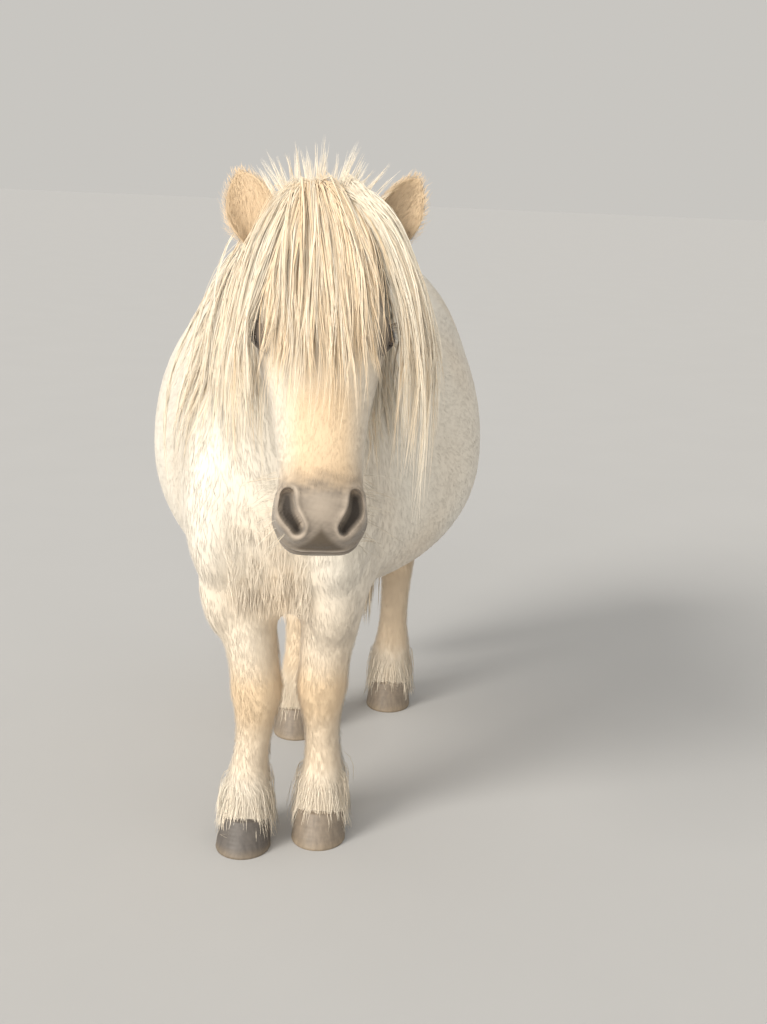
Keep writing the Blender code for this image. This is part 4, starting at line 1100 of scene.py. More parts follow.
def tuft_density(points):
    """Tufts to the square centimetre, more where they are shorter."""
    density = np.full(len(points), 2.0)
    density += (5.5 - density) * leg_share(points)
    places = head_places(points)
    along, out, _ = places.T
    face = 7.0 + 22.0 * ear_share(points) - 3.5 * ramp(out, -0.06, -0.12)
    face = face * (1.0 - 0.85 * ramp(along, 0.345, 0.380) * (out > -0.09))
    for side in (-1, 1):
        face = face * (nostril_distance(places, side) > 0.004)
    face = face * ~near_eyes(points, 0.019)
    face = face * (np.abs(mouth_distance(places)) > 0.004 * (along > 0.34))
    density += (face - density) * head_share(points)
    in_hoof = np.zeros(len(points), bool)
    for x, y in FEET.values():
        close = np.hypot(points[:, 0] - x, points[:, 1] - y) < 0.075
        in_hoof |= close & (points[:, 2] < coronet_height(points[:, 1], y) + 0.004)
    return density * ~in_hoof


def coronet_height(y, foot_y):
    """Height of the top of a hoof at a place along Y."""
    return CORONET_HEIGHT - CORONET_SLOPE * (y - foot_y)


def scatter(points, normals, triangles, density, count, rng):
    """Random roots on a surface: their places and ways out, thick by a density at each point."""
    corners = points[triangles]
    area = np.linalg.norm(
        np.cross(corners[:, 1] - corners[:, 0], corners[:, 2] - corners[:, 0]), axis=1) / 2
    total = np.cumsum(area * density[triangles].mean(axis=1))
    pick = np.searchsorted(total, rng.random(count) * total[-1])
    u, v = rng.random(count), rng.random(count)
    fold = u + v > 1
    u, v = np.where(fold, 1 - u, u), np.where(fold, 1 - v, v)
    share = np.stack([1 - u - v, u, v], axis=1)[..., None]
    return (corners[pick] * share).sum(1), unit((normals[triangles[pick]] * share).sum(1))


def tuft_surfaces(roots, normals, ways, lengths, widths, lift, rng):
    """Short tufts: each a slender closed lock from its root by a three-sided middle to its tip.

    The middle stands over the skin by the lift, and the tip comes back towards it. Each
    is shaded much as the skin under it, so that the coat reads as one soft surface.
    """
    count = len(roots)
    side = np.cross(normals, ways)
    bend = rng.uniform(-0.22, 0.22, count)[:, None] * side
    length = lengths[:, None]
    rise = (lift * rng.uniform(0.6, 1.4, count))[:, None]
    fall = rng.uniform(0.4, 1.9, count)[:, None]
    middle = roots + (ways + bend * 0.3) * 0.42 * length + normals * rise * length
    tip = roots + (ways + bend) * length + normals * rise * fall * length
    half = widths[:, None] / 2
    points = np.stack([
        roots - normals * 0.0012, middle + side * half, middle - side * half,
        middle + normals * widths[:, None] * 0.18, tip], axis=1)
    facing = np.stack([normals, unit(normals + 0.18 * side), unit(normals - 0.18 * side),
                       normals, unit(normals + 0.15 * ways)], axis=1)
    one = outward(points[0], np.array([
        (0, 1, 2), (0, 2, 3), (0, 3, 1), (4, 2, 1), (4, 3, 2), (4, 1, 3)]))
    triangles = (one[None] + np.arange(count)[:, None, None] * 5).reshape(-1, 3)
    points[..., 2] = np.maximum(points[..., 2], HAIR_FLOOR)
    return points.reshape(-1, 3), triangles, facing.reshape(-1, 3)


def hair_surfaces(paths, widths, rng, flat=0.42):
    """Closed three-sided strips along paths (hairs, steps, 3), which taper to a point.

    The first side of each is carried along its path without twisting.
    """
    count, steps, _ = paths.shape
    ahead = unit(np.gradient(paths, axis=1))
    side = unit(np.cross(ahead[:, 0], rng.normal(size=(count, 3))))
    sides = [side]
    for k in range(1, steps - 1):
        side = unit(side - ahead[:, k] * dot(side, ahead[:, k])[:, None])
        sides.append(side)
    across = np.stack(sides, axis=1)
    out = np.cross(ahead[:, :-1], across)
    share = np.linspace(0.0, 1.0, steps)[:-1]
    taper = (0.62 + 1.1 * share - 1.45 * share**2.6)[None, :, None]
    half = widths[:, None, None] / 2 * taper
    center = paths[:, :-1]
    rings = np.stack([center + across * half - out * half * flat,
                      center - across * half - out * half * flat,
                      center + out * half * flat * 1.6], axis=2)
    points = np.concatenate([rings.reshape(count, -1, 3), paths[:, -1:]], axis=1)
    last = (steps - 2) * 3
    one = np.concatenate([
        round_faces(steps - 1, 3, steps - 2), [(0, 2, 1)],
        [(last, last + 1, last + 3), (last + 1, last + 2, last + 3), (last + 2, last, last + 3)],
    ])
    one = outward(points[0], one)
    per = (steps - 1) * 3 + 1
    triangles = (one[None] + np.arange(count)[:, None, None] * per).reshape(-1, 3)
    return points.reshape(-1, 3), triangles, per


def unwrap(points, part):
    """Roots on a flat map of the skin: round the part by along it."""
    if part == "head":
        along, out, left = head_places(points).T
        u = np.arctan2(left, out + 0.07) / (2 * math.pi) + 0.5
        v = (along + 0.16) / 0.62
    elif part == "legs":
        column = np.zeros(len(points))
        u = np.zeros(len(points))
        close = np.full(len(points), np.inf)
        for k, leg in enumerate(FEET):
            middle = leg_middle(leg, np.clip(points[:, 2], 0.02, 0.6))
            gap = points[:, :2] - middle
            far = np.linalg.norm(gap, axis=1)
            mine = far < close
            close = np.where(mine, far, close)
            column = np.where(mine, k, column)
            u = np.where(mine, np.arctan2(gap[:, 0], gap[:, 1]) / (2 * math.pi) + 0.5, u)
        u = (column + 0.02 + 0.96 * u) / 4
        v = points[:, 2] / 0.66
    elif part == "tail":
        u = np.arctan2(points[:, 0] - HIP_SWING, points[:, 1] - 0.46) / (2 * math.pi) + 0.5
        v = (points[:, 2] - 0.55) / 0.42
    else:
        u = np.arctan2(points[:, 0] - spine_swing(points[:, 1]), points[:, 2] - 0.62)
        u = u / (2 * math.pi) + 0.5
        v = (points[:, 1] + 0.70) / 1.32
    return np.clip(np.stack([u, v], axis=1), 0.0, 1.0) * 0.98 + 0.008


def tuft_piece(name, roots, normals, ways, lengths, widths, colours, part, lift, rng):
    """One piece of the short coat, with its colours and its OFBake map."""
    points, triangles, facing = tuft_surfaces(roots, normals, ways, lengths, widths, lift, rng)
    if part == "head":
        edge = ear_share(roots) * ramp(dot(normals, FACE_OUT), -0.75, -0.20)
        facing = unit(facing + 1.1 * np.repeat(edge, 5)[:, None] * FACE_OUT)
    mesh = mesh_of(name, points, triangles)
    mesh.normals_split_custom_set_from_vertices(facing.astype(np.float32))
    # Painted shade at each tuft's root and a little painted light at its tip.
    shade = np.array([0.95, 0.99, 0.99, 1.0, 1.02])
    add_colours(mesh, (colours[:, None, :] * shade[None, :, None]).reshape(-1, 3))
    patch = np.array([(0.5, 0), (0, 0.4), (1, 0.4), (0.5, 0.5), (0.5, 1)]) * PATCH
    add_bake_map(mesh, (unwrap(roots, part)[:, None] + patch).reshape(-1, 2))
    return show(name, mesh, coat_material())


def hair_piece(name, paths, widths, colours, part, rng, replaces=(), front=(0.0, 0.0, 0.0)):
    """One piece of long hair, with its colours and its OFBake map.

    Each hair is shaded partly by its own roundness, partly as the skin under it and as a
    surface that faces the front given.
    """
    steps = paths.shape[1]
    points, triangles, per = hair_surfaces(paths, widths, rng)
    mesh = mesh_of(name, points, triangles)
    near, facing = nearest(around_tree(), paths)
    facing = facing * ramp(np.linalg.norm(paths - near, axis=2), 0.090, 0.030)[..., None]
    facing = (1.0 - 0.7 * np.any(front)) * facing + np.array(front)
    own = unit(points.reshape(len(paths), -1, 3) - np.repeat(paths, 3, axis=1)[:, :per])
    soft = unit(0.70 * own + 0.64 * np.repeat(facing, 3, axis=1)[:, :per])
    mesh.normals_split_custom_set_from_vertices(soft.reshape(-1, 3).astype(np.float32))
    share = np.append(np.repeat(np.linspace(0, 1, steps)[:-1], 3), 1.0)
    # Painted shade towards each hair's root.
    shade = 0.92 + 0.10 * ramp(share, 0.0, 0.25)
    add_colours(mesh, (colours[:, None, :] * shade[None, :, None]).reshape(-1, 3))
    across = np.append(np.tile([0.0, 1.0, 0.5], steps - 1), 0.5)
    patch = np.stack([across, share], axis=1) * PATCH
    add_bake_map(mesh, (unwrap(paths[:, 0], part)[:, None] + patch).reshape(-1, 2))
    return show(name, mesh, hair_material(), replaces)


def read_along(paths, places):
    """Points on paths (n, steps, 3) at places (n, m) from 0, the root, to 1, the tip."""
    steps = paths.shape[1]
    where = np.clip(places, 0, 1) * (steps - 1)
    low = np.minimum(where.astype(int), steps - 2)
    rest = (where - low)[..., None]
    row = np.arange(len(paths))[:, None]
    return paths[row, low] * (1 - rest) + paths[row, low + 1] * rest


def locks(guides, members, root_spread, tip_spread, rng, shorter=0.30, wave=0.004,
          steps=12, stray=0.06):
    """Many hairs about each guide path: (guides, steps, 3) gives (guides * members, steps, 3).

    Each hair keeps its own place in the lock, which is widest near its root and drawn
    together at its tip, ends somewhat before the guide, waves a little, and is held
    outside the skin. A few stray further.
    """
    count = len(guides) * members
    long_guides = np.repeat(guides, members, axis=0)
    place = np.linspace(0, 1, steps)[None, :] * (1.0 - shorter * rng.random(count) ** 1.6)[:, None]
    paths = read_along(long_guides, place)
    ahead = unit(np.gradient(paths, axis=1))
    first = unit(np.cross(ahead, np.array([0.21, -0.93, 0.30])))
    second = np.cross(ahead, first)
    turn = rng.uniform(0, 2 * math.pi, count)
    far = np.sqrt(rng.random(count))
    far = np.where(rng.random(count) < stray, far * 2.6, far)
    spread = root_spread * (1 - place) ** 1.3 + tip_spread * place**0.8
    phase = rng.uniform(0, 2 * math.pi, (count, 1))
    swing = wave * place * np.sin(phase + place * rng.uniform(3.0, 8.0, (count, 1)))
    swirl = turn[:, None] + rng.uniform(-1.2, 1.2, (count, 1)) * place
    across = (far[:, None] * spread * np.cos(swirl) + swing)[..., None]
    deep = (far[:, None] * spread * 0.6 * np.sin(swirl) + 0.5 * swing)[..., None]
    paths = paths + across * first + deep * second
    near, facing = nearest(around_tree(), paths)
    gap = paths - near
    inside = (dot(gap, facing) < 0) | (np.linalg.norm(gap, axis=2) < 0.0015)
    inside[:, 0] = False
    paths = np.where(inside[..., None], near + facing * 0.0020, paths)
    paths[..., 2] = np.maximum(paths[..., 2], HAIR_FLOOR)
    return paths


def fine_locks(guides, bunches, members, spread, rng, shorter=0.40, wave=0.006, steps=11):
    """Locks that divide into bunches, each drawn out to its own fine point."""
    paths = locks(guides, bunches, spread, spread * 0.8, rng, shorter, wave, steps + 2, 0.14)
    return locks(paths, members, 0.0034, 0.0012, rng, 0.30, 0.0016, steps, 0.08)


def hair_colours(guides, members, warm, rng):
    """A colour for each hair: locks differ, and so do the hairs of one lock a little."""
    look = bpy.context.scene.pony_hair
    flaxen, straw = np.array(look.flaxen[:]), np.array(look.straw[:])
    lock = np.repeat(np.clip(warm + rng.normal(0, 0.17, guides), 0, 1), members)
    share = np.clip(lock + rng.normal(0, 0.12, guides * members), 0, 1.15)
    shade = mix(np.tile(flaxen, (len(share), 1)), straw, share)
    return shade * rng.uniform(0.84, 1.04, (len(share), 1))


def around_tree():
    """The skin with its ears and dock, which the hair keeps outside of."""
    return skin()[1]


# Each part of the forelock: how many guides, how warm its colour is, and the outer curves
# between which its guides lie, from the crown to the end, along, out and left of the poll
FORELOCK_PARTS = {
    "forelock_right": (30, 0.24, (
        ((-0.050, -0.004, -0.035), (0.005, 0.012, -0.082), (0.094, -0.005, -0.114),
         (0.178, -0.040, -0.129), (0.264, -0.075, -0.133), (0.352, -0.105, -0.126)),
        ((-0.050, -0.002, -0.033), (0.023, 0.022, -0.069), (0.106, 0.010, -0.097),
         (0.171, -0.018, -0.108), (0.243, -0.050, -0.107), (0.305, -0.070, -0.100)),
        ((-0.051, 0.000, -0.030), (0.030, 0.030, -0.059), (0.107, 0.026, -0.085),
         (0.157, 0.004, -0.096), (0.213, -0.015, -0.099), (0.263, -0.025, -0.093)))),
    "forelock_middle": (84, 0.58, (
        ((-0.051, 0.002, -0.028), (0.024, 0.034, -0.051), (0.109, 0.040, -0.071),
         (0.170, 0.030, -0.075), (0.217, 0.018, -0.079), (0.262, 0.010, -0.078)),
        ((-0.052, 0.004, -0.025), (0.023, 0.038, -0.042), (0.111, 0.046, -0.054),
         (0.175, 0.038, -0.057), (0.231, 0.026, -0.064), (0.281, 0.014, -0.070)),
        ((-0.053, 0.006, -0.021), (0.020, 0.040, -0.026), (0.112, 0.050, -0.030),
         (0.179, 0.042, -0.032), (0.238, 0.028, -0.036), (0.294, 0.014, -0.047)),
        ((-0.053, 0.008, -0.015), (0.019, 0.042, -0.005), (0.112, 0.052, -0.001),
         (0.182, 0.042, 0.002), (0.237, 0.030, 0.003), (0.289, 0.016, 0.002)),
        ((-0.054, 0.008, -0.007), (0.018, 0.042, 0.015), (0.109, 0.048, 0.027),
         (0.175, 0.038, 0.033), (0.229, 0.026, 0.034), (0.274, 0.014, 0.033)),
        ((-0.055, 0.006, 0.003), (0.018, 0.040, 0.036), (0.106, 0.042, 0.056),
         (0.166, 0.030, 0.064), (0.208, 0.018, 0.072), (0.242, 0.008, 0.079)),
        ((-0.056, 0.004, 0.011), (0.016, 0.036, 0.047), (0.094, 0.034, 0.067),
         (0.154, 0.020, 0.074), (0.198, 0.006, 0.083), (0.233, -0.002, 0.089)))),
    "forelock_left": (42, 0.16, (
        ((-0.055, 0.004, 0.015), (0.005, 0.030, 0.054), (0.082, 0.018, 0.089),
         (0.146, 0.000, 0.104), (0.216, -0.030, 0.109), (0.290, -0.060, 0.107)),
        ((-0.054, 0.003, 0.023), (-0.009, 0.026, 0.063), (0.060, 0.008, 0.106),
         (0.133, -0.020, 0.129), (0.209, -0.060, 0.137), (0.315, -0.110, 0.127)),
        ((-0.053, 0.002, 0.033), (-0.018, 0.020, 0.075), (0.048, -0.002, 0.118),
         (0.125, -0.032, 0.143), (0.201, -0.075, 0.154), (0.352, -0.145, 0.136)))),
}



def forelock_paths(rng, part):
    """Guides of one part: up off the poll to the crown, over the brow and down.

    They lie in three layers. The lower ones rise less and stay nearer the skin.
    """
    look = bpy.context.scene.pony_hair
    guides, _, curves = FORELOCK_PARTS[part]
    share = (np.arange(guides) + rng.uniform(0.0, 1.0, guides)) / guides
    layer = (np.arange(guides) % 3)[:, None]
    places = smooth_between(np.linspace(0, 1, len(curves)), curves, share)
    crown = places[:, 0]
    starts = np.stack([crown[:, 0] + rng.uniform(0.024, 0.044, guides), np.full(guides, 0.2),
                       crown[:, 2] * 0.9], axis=1)
    roots, normals = landing(around_tree(), on_head(starts), -FACE_OUT)
    places[:, 1:, 1] -= 0.008 * (2 - layer)
    places[:, 0, :2] += rng.normal(0, 0.008, (guides, 2))
    places[:, 1:, 2] += rng.normal(0, 0.0045, (guides, 1)) * np.linspace(0.4, 1.7, 5)
    phase = rng.uniform(0, 2 * math.pi, (guides, 1))
    places[:, 1:, 2] += 0.0040 * np.sin(phase + np.arange(5) * rng.uniform(1.2, 2.0, (guides, 1)))
    stations = on_head(places)
    rise = 0.62 + 0.19 * layer
    stations[:, 0] = roots + (stations[:, 0] - roots) * rise
    stations = np.concatenate([(roots - normals * 0.006)[:, None], stations], axis=1)
    chords = np.linalg.norm(np.diff(stations, axis=1), axis=2).mean(axis=0)
    knots = np.append(0.0, np.cumsum(chords)) / chords.sum()
    stations[:, -1] += 0.75 * (stations[:, -1] - stations[:, -2]) * np.array([0.3, 0.7, 1.0])
    fine = smooth_between(knots, stations.transpose(1, 0, 2), np.linspace(0, 1, 40))
    fine = fine.transpose(1, 0, 2)
    reach = look.forelock_length / 0.33 * (0.78 + 0.22 * rng.random(guides))
    paths = read_along(fine, np.linspace(0, 1, 16)[None, :] * reach[:, None])
    clear = (0.003 + 0.005 * layer) * np.minimum(1.0, np.linspace(0.2, 2.2, 16))[None, :]
    paths[:, 1:] = held_off(paths[:, 1:], around_tree(), clear[:, 1:])
    return paths


def clear_of_eyes(paths, rng):
    """Which hairs leave a gap in front of the eyes; most of those that would cross it go."""
    places = head_places(paths)
    ahead = places[..., 1] > EYE_OUT - 0.030
    kept = np.ones(len(paths), bool)
    for side, wide, low, go in ((1, 0.016, 0.200, 0.93), (-1, 0.011, 0.172, 0.85)):
        apart = places[..., 2] * side - 0.086
        along = places[..., 0]
        crossing = (np.abs(apart) < wide) & (along > 0.120) & (along < low) & ahead
        kept &= ~(crossing.any(axis=1) & (rng.random(len(paths)) < go))
    return kept


def mane_paths(side, rng, guides):
    """Guides down one side of the crest."""
    look = bpy.context.scene.pony_hair
    tree = around_tree()
    layer = np.arange(guides) % 3
    y = np.linspace(-0.560, -0.265, guides) + rng.uniform(-0.008, 0.008, guides)
    bend = POLL[0] * ((y + 0.265) / -0.283).clip(0, 1) ** 1.3
    starts = np.stack([
        bend + side * (0.022 - 0.007 * layer + rng.uniform(-0.004, 0.004, guides)),
        y, np.full(guides, 1.4)], axis=1)
    roots, normals = landing(tree, starts, DOWN)
    heading = np.stack([
        np.full(guides, float(side)), -0.25 + rng.uniform(-0.3, 0.3, guides),
        np.full(guides, 0.10)], axis=1)
    length = look.mane_length * rng.uniform(0.66, 1.08, guides) * (1.0 if side < 0 else 0.80)
    return hang(roots, normals, heading, length, tree, 0.004 + 0.0065 * layer, 0.05, 14)


def tail_paths(rng, guides=64):
    """Guides round the dock, which fall to just over the ground."""
    look = bpy.context.scene.pony_hair
    tree = around_tree()
    middle = dock_rings().mean(axis=1)
    share = (np.arange(guides) + 0.5) / guides
    turn = np.radians(137.5) * np.arange(guides)
    place = (share**0.8 * 0.80 + 0.14)[None, :]
    roots = read_along(middle[None], place)[0]
    normal = unit(np.stack([np.cos(turn), 0.45 + 0.80 * np.sin(turn), np.zeros(guides)], axis=1))
    roots = roots + normal * (DOCK_RADIUS * (0.80 - 0.5 * share))[:, None]
    heading = normal * (1.3 - 1.0 * share)[:, None]
    heading = heading + np.stack([rng.uniform(-0.2, 0.2, guides), np.full(guides, 0.10),
                                  np.full(guides, -0.6)], axis=1)
    length = (roots[:, 2] - look.tail_tip) * rng.uniform(0.82, 1.0, guides)
    return hang(roots, normal, heading, length, tree, 0.010, 0.06, 16)


def feather_paths(leg, rng, guides=72):
    """Guides round one fetlock in three rows: long behind, short in front, over the coronet."""
    look = bpy.context.scene.pony_hair
    tree = around_tree()
    x, y = FEET[leg]
    row = np.arange(guides) % 3
    share = np.linspace(-1, 1, guides) + rng.uniform(-0.05, 0.05, guides)
    turn = np.radians(90.0 + 178.0 * share)
    ray = np.stack([np.cos(turn), np.sin(turn), np.zeros(guides)], axis=1)
    rear = (1.0 - np.abs(share)).clip(0, 1)
    height = 0.055 + 0.022 * row + 0.022 * rear + rng.uniform(-0.006, 0.006, guides)
    center = np.stack([np.full(guides, x), np.full(guides, y + FETLOCK_BACK * 0.8), height], axis=1)
    roots, normals = landing(tree, center + ray * 0.09, -ray)
    heading = ray * (0.38 - 0.13 * row)[:, None] + np.array([0, 0.03, -1.0])
    length = look.feather_length * rng.uniform(0.80, 1.15, guides)
    length = length * (0.66 + 0.12 * row + 0.48 * rear)
    return hang(roots, normals, heading, length, tree, 0.003 + 0.002 * row, 0.16, 10)


def whisker_paths(rng):
    """The stiff hairs round the lips and under the chin, and the lashes of both eyes."""
    tree = around_tree()
    count = WHISKERS
    side = np.where(np.arange(count) % 2 == 0, 1.0, -1.0)
    along = rng.uniform(0.320, 0.415, count)
    out = rng.uniform(-0.105, -0.030, count)
    starts = on_head(np.stack([along, out, side * 0.2], axis=1))
    roots, normals = landing(tree, starts, -side[:, None] * FACE_LEFT)
    heading = normals + rng.normal(0, 0.22, (count, 3)) + np.array([0, -0.10, -0.35])
    length = rng.uniform(0.018, 0.060, count)
    face = hang(roots, normals, heading, length, tree, 0.001, 0.35, 9)
    lashes = []
    for eye in (-1, 1):
        middle, facing, ahead, up = eye_frame(eye)
        turn = np.linspace(math.radians(28), math.radians(152), LASHES)
        turn = turn + rng.uniform(-0.04, 0.04, LASHES)
        across, above = np.cos(turn)[:, None], np.sin(turn)[:, None]
        way = unit(0.72 * facing + 0.80 * across * ahead + 0.45 * above * up)
        roots = middle + way * (EYE_RADIUS + 0.0012)
        heading = facing + 0.35 * above * up + 0.5 * across * ahead
        lashes.append(hang(roots, np.tile(facing, (LASHES, 1)), heading, np.full(LASHES, 0.012),
                           tree, 0.001, 0.03, 9))
    return face, np.concatenate(lashes)


BREAST_FRONT = np.array([-0.25, -0.80, 0.35])


def breast_paths(rng, guides=170):
    """Guides for the longer hair that hangs from the middle of the breast between the legs."""
    tree = around_tree()
    starts = np.stack([rng.uniform(-0.070, 0.055, guides), np.full(guides, -0.545),
                       0.440 + 0.150 * rng.random(guides) ** 2], axis=1)
    roots, normals = landing(tree, starts, np.array([0.0, 1.0, 0.0]))
    heading = normals * 0.25 + np.array([0, 0, -1.0]) + rng.normal(0, 0.10, (guides, 3))
    length = rng.uniform(0.026, 0.050, guides)
    return hang(roots, normals, heading, length, tree, 0.002, 0.10, 10)


def eye_surface(side, rows=40, turns=64):
    """An eyeball: latitude about the way it faces, by turn, with a cornea a little proud."""
    middle, facing, along, up = eye_frame(side)
    polar = np.linspace(0.0, math.pi, rows + 2)[1:-1, None]
    turn = np.linspace(0, 2 * math.pi, turns, endpoint=False)[None, :]
    radius = EYE_RADIUS + 0.0007 * np.exp(-((polar / 0.55) ** 4))
    way = (np.cos(polar) + 0 * turn)[..., None] * facing
    way = way + (np.sin(polar) * np.cos(turn))[..., None] * along
    way = way + (np.sin(polar) * np.sin(turn))[..., None] * up
    return middle, loft(middle + way * radius[..., None]), (facing, along, up)


def eye_colours(points, middle, axes):
    """Dark brown iris with finer rays, a level pupil, and a darker rim."""
    facing, along, up = axes
    way = unit(points - middle)
    u, v, f = dot(way, along), dot(way, up), dot(way, facing)
    reach = np.hypot(u, v)
    turn = np.arctan2(v, u)
    iris = np.array([0.060, 0.030, 0.014])
    rays = 1.0 + 0.35 * np.sin(turn * 37) * np.sin(turn * 11 + 1)
    colour = iris * rays[:, None]
    pupil = ramp(np.hypot(u / 0.42, v / 0.22), 1.08, 0.92)
    colour = mix(colour, np.array([0.004, 0.004, 0.005]), pupil)
    colour = mix(colour, np.array([0.012, 0.009, 0.008]), ramp(reach, 0.62, 0.74))
    return mix(colour, np.array([0.09, 0.06, 0.05]), ramp(reach, 0.86, 0.96) * (f > 0))


def hoof_surface(leg, rows=44, turns=72):
    """A hoof: height by turn, with growth rings round its wall and a worn lower edge.

    The wall leans back up to the coronet, which is higher at the toe. Each ring is a wave
    of 0.16 mm, and the top tucks in under the hair.
    """
    x, y = FEET[leg]
    share = np.linspace(0.0, 1.0, rows)[:, None]
    turn = np.linspace(0.0, 2 * math.pi, turns, endpoint=False)[None, :]
    rings = 0.00016 * np.sin(share * 2 * math.pi * 9 + 0.5 * np.sin(turn * 2))
    rings = rings * ramp(share, 0.08, 0.2)
    grain = 0.00012 * np.sin(turn * 71 + 3 * np.sin(share * 5))
    tuck = -0.006 * ramp(share, 0.90, 1.0)
    worn = -SOLE_BEVEL * (1 - ramp(share, 0.0, 0.05))
    half_width = HOOF_HALF_WIDTH + (CORONET_HALF_WIDTH - HOOF_HALF_WIDTH) * share
    half_length = HOOF_HALF_LENGTH + (CORONET_HALF_LENGTH - HOOF_HALF_LENGTH) * share
    more = rings + grain + tuck + worn
    ring_x = x + (half_width + more) * np.cos(turn)
    ring_y = y + CORONET_BACK * share + (half_length + more) * np.sin(turn)
    top = coronet_height(ring_y, y) + 0.003
    return loft(np.stack([ring_x, ring_y, top * share], axis=-1))


def shader_of(name, sockets):
    """A new material and its shader, with these values on the shader's own sockets."""
    made = bpy.data.materials.new(name)
    made.use_nodes = True
    shader = made.node_tree.nodes["Principled BSDF"]
    for socket, value in sockets.items():
        shader.inputs[socket].default_value = value
    return made, made.node_tree, shader


def noise_node(tree, vector, scale, detail=3.0, stretch=None):
    """A noise texture on a vector, drawn out along the axes that stretch makes small."""
    node = tree.nodes.new("ShaderNodeTexNoise")
    node.inputs["Scale"].default_value = scale
    node.inputs["Detail"].default_value = detail
    if stretch:
        mapping = tree.nodes.new("ShaderNodeMapping")
        mapping.inputs["Scale"].default_value = stretch
        tree.links.new(vector, mapping.inputs["Vector"])
        vector = mapping.outputs["Vector"]
    tree.links.new(vector, node.inputs["Vector"])
    return node.outputs["Fac"]


def ranged(tree, value, low, high):
    """A value from 0..1 mapped to low..high."""
    node = tree.nodes.new("ShaderNodeMapRange")
    node.inputs["To Min"].default_value = low
    node.inputs["To Max"].default_value = high
    tree.links.new(value, node.inputs["Value"])
    return node.outputs["Result"]


def painted(tree, shader, shade):
    """Base colour: the coat's colour at each point, times a shade."""
    paint = tree.nodes.new("ShaderNodeAttribute")
    paint.attribute_name = "coat_colour"
    times = tree.nodes.new("ShaderNodeVectorMath")
    times.operation = "MULTIPLY"
    tree.links.new(paint.outputs["Color"], times.inputs[0])
    tree.links.new(shade, times.inputs[1])
    tree.links.new(times.outputs["Vector"], shader.inputs["Base Color"])


def add_bump(tree, shader, height, strength, distance):
    """Bump of the surface from a height."""
    bump = tree.nodes.new("ShaderNodeBump")
    bump.inputs["Strength"].default_value = strength
    bump.inputs["Distance"].default_value = distance
    tree.links.new(height, bump.inputs["Height"])
    tree.links.new(bump.outputs["Normal"], shader.inputs["Normal"])


def object_coordinates(tree):
    """The object's own coordinates."""
    return tree.nodes.new("ShaderNodeTexCoord").outputs["Object"]


@cache
def coat_material():
    """Short coat: the painted colour with fine uneven shade, soft and dry."""
    made, tree, shader = shader_of("short_coat", {
        "Roughness": 0.62, "Sheen Weight": 0.25, "Sheen Roughness": 0.45,
        "Specular IOR Level": 0.30})
    shade = noise_node(tree, object_coordinates(tree), 90.0)
    painted(tree, shader, ranged(tree, shade, 0.97, 1.02))
    return made


@cache
def hair_material():
    """Long hair: the painted colour, with a soft gloss along it."""
    made, tree, shader = shader_of("flaxen_hair", {
        "Roughness": 0.46, "Sheen Weight": 0.20, "Sheen Roughness": 0.40,
        "Specular IOR Level": 0.42})
    shade = noise_node(tree, object_coordinates(tree), 60.0)
    painted(tree, shader, ranged(tree, shade, 0.92, 1.08))
    return made


@cache
def skin_material():
    """Skin and its nap: streaks along the lie of the coat, and fine grain on bare skin."""
    made, tree, shader = shader_of("pony_skin", {
        "Roughness": 0.62, "Sheen Weight": 0.20, "Sheen Roughness": 0.45,
        "Specular IOR Level": 0.30})
    lie = tree.nodes.new("ShaderNodeAttribute")
    lie.attribute_name = "nap"
    streaks = noise_node(tree, lie.outputs["Vector"], 1.0, 2.0)
    painted(tree, shader, ranged(tree, streaks, 0.97, 1.05))
    add_bump(tree, shader, streaks, 0.35, 0.0012)
    return made


@cache
def eye_material():
    """A wet dark eye."""
    made, tree, shader = shader_of("wet_eye", {
        "Roughness": 0.04, "Coat Weight": 1.0, "Coat Roughness": 0.02})
    shade = noise_node(tree, object_coordinates(tree), 400.0)
    painted(tree, shader, ranged(tree, shade, 0.8, 1.2))
    return made


@cache
def horn_material():
    """Hoof horn: upright streaks and growth rings, dull, with soil at its foot."""
    made, tree, shader = shader_of("hoof_horn", {"Roughness": 0.55})
    place = object_coordinates(tree)
    streaks = noise_node(tree, place, 160.0, 4.0, (1.0, 1.0, 0.08))
    bands = noise_node(tree, place, 30.0, 3.0, (0.12, 0.12, 4.0))
    both = tree.nodes.new("ShaderNodeMath")
    both.operation = "MULTIPLY"
    tree.links.new(ranged(tree, streaks, 0.6, 1.4), both.inputs[0])
    tree.links.new(ranged(tree, bands, 0.88, 1.14), both.inputs[1])
    painted(tree, shader, both.outputs["Value"])
    add_bump(tree, shader, streaks, 0.35, 0.0006)
    return made


def nap_places(points, normals):
    """Coordinates for the nap of the skin, drawn out along the lie of the coat."""
    way = lie_of(points, normals)
    along = dot(points, way)[:, None]
    return (points - way * along) * 620.0 + way * along * 95.0


class PONY_OT_skin(bpy.types.Operator):
    """Makes the one skin of the body, with its muzzle, lids and ears"""

    bl_idname = "pony.skin"
    bl_label = "Skin"

    def execute(self, context):
        mesh, _ = skin()
        points, _ = read_points(mesh)
        made = mesh_of("skin", *joined([(points, read_triangles(mesh)), *map(lid_ring, (-1, 1))]))
        points, normals = read_points(made)
        colours = coat_colours(points)
        dark = np.zeros(len(points))
        for side in (-1, 1):
            middle, _, _, _ = eye_frame(side)
            reach = np.linalg.norm(points - middle, axis=1)
            dark = np.maximum(dark, ramp(reach, EYE_RADIUS + 0.0045, EYE_RADIUS + 0.0015))
        add_colours(made, mix(colours, np.array([0.045, 0.035, 0.03]), 0.85 * dark))
        nap = made.attributes.new("nap", "FLOAT_VECTOR", "POINT")
        nap.data.foreach_set("vector", nap_places(points, normals).astype(np.float32).ravel())
        show("skin", made, skin_material(), FLESH_NODES)
        return {"FINISHED"}


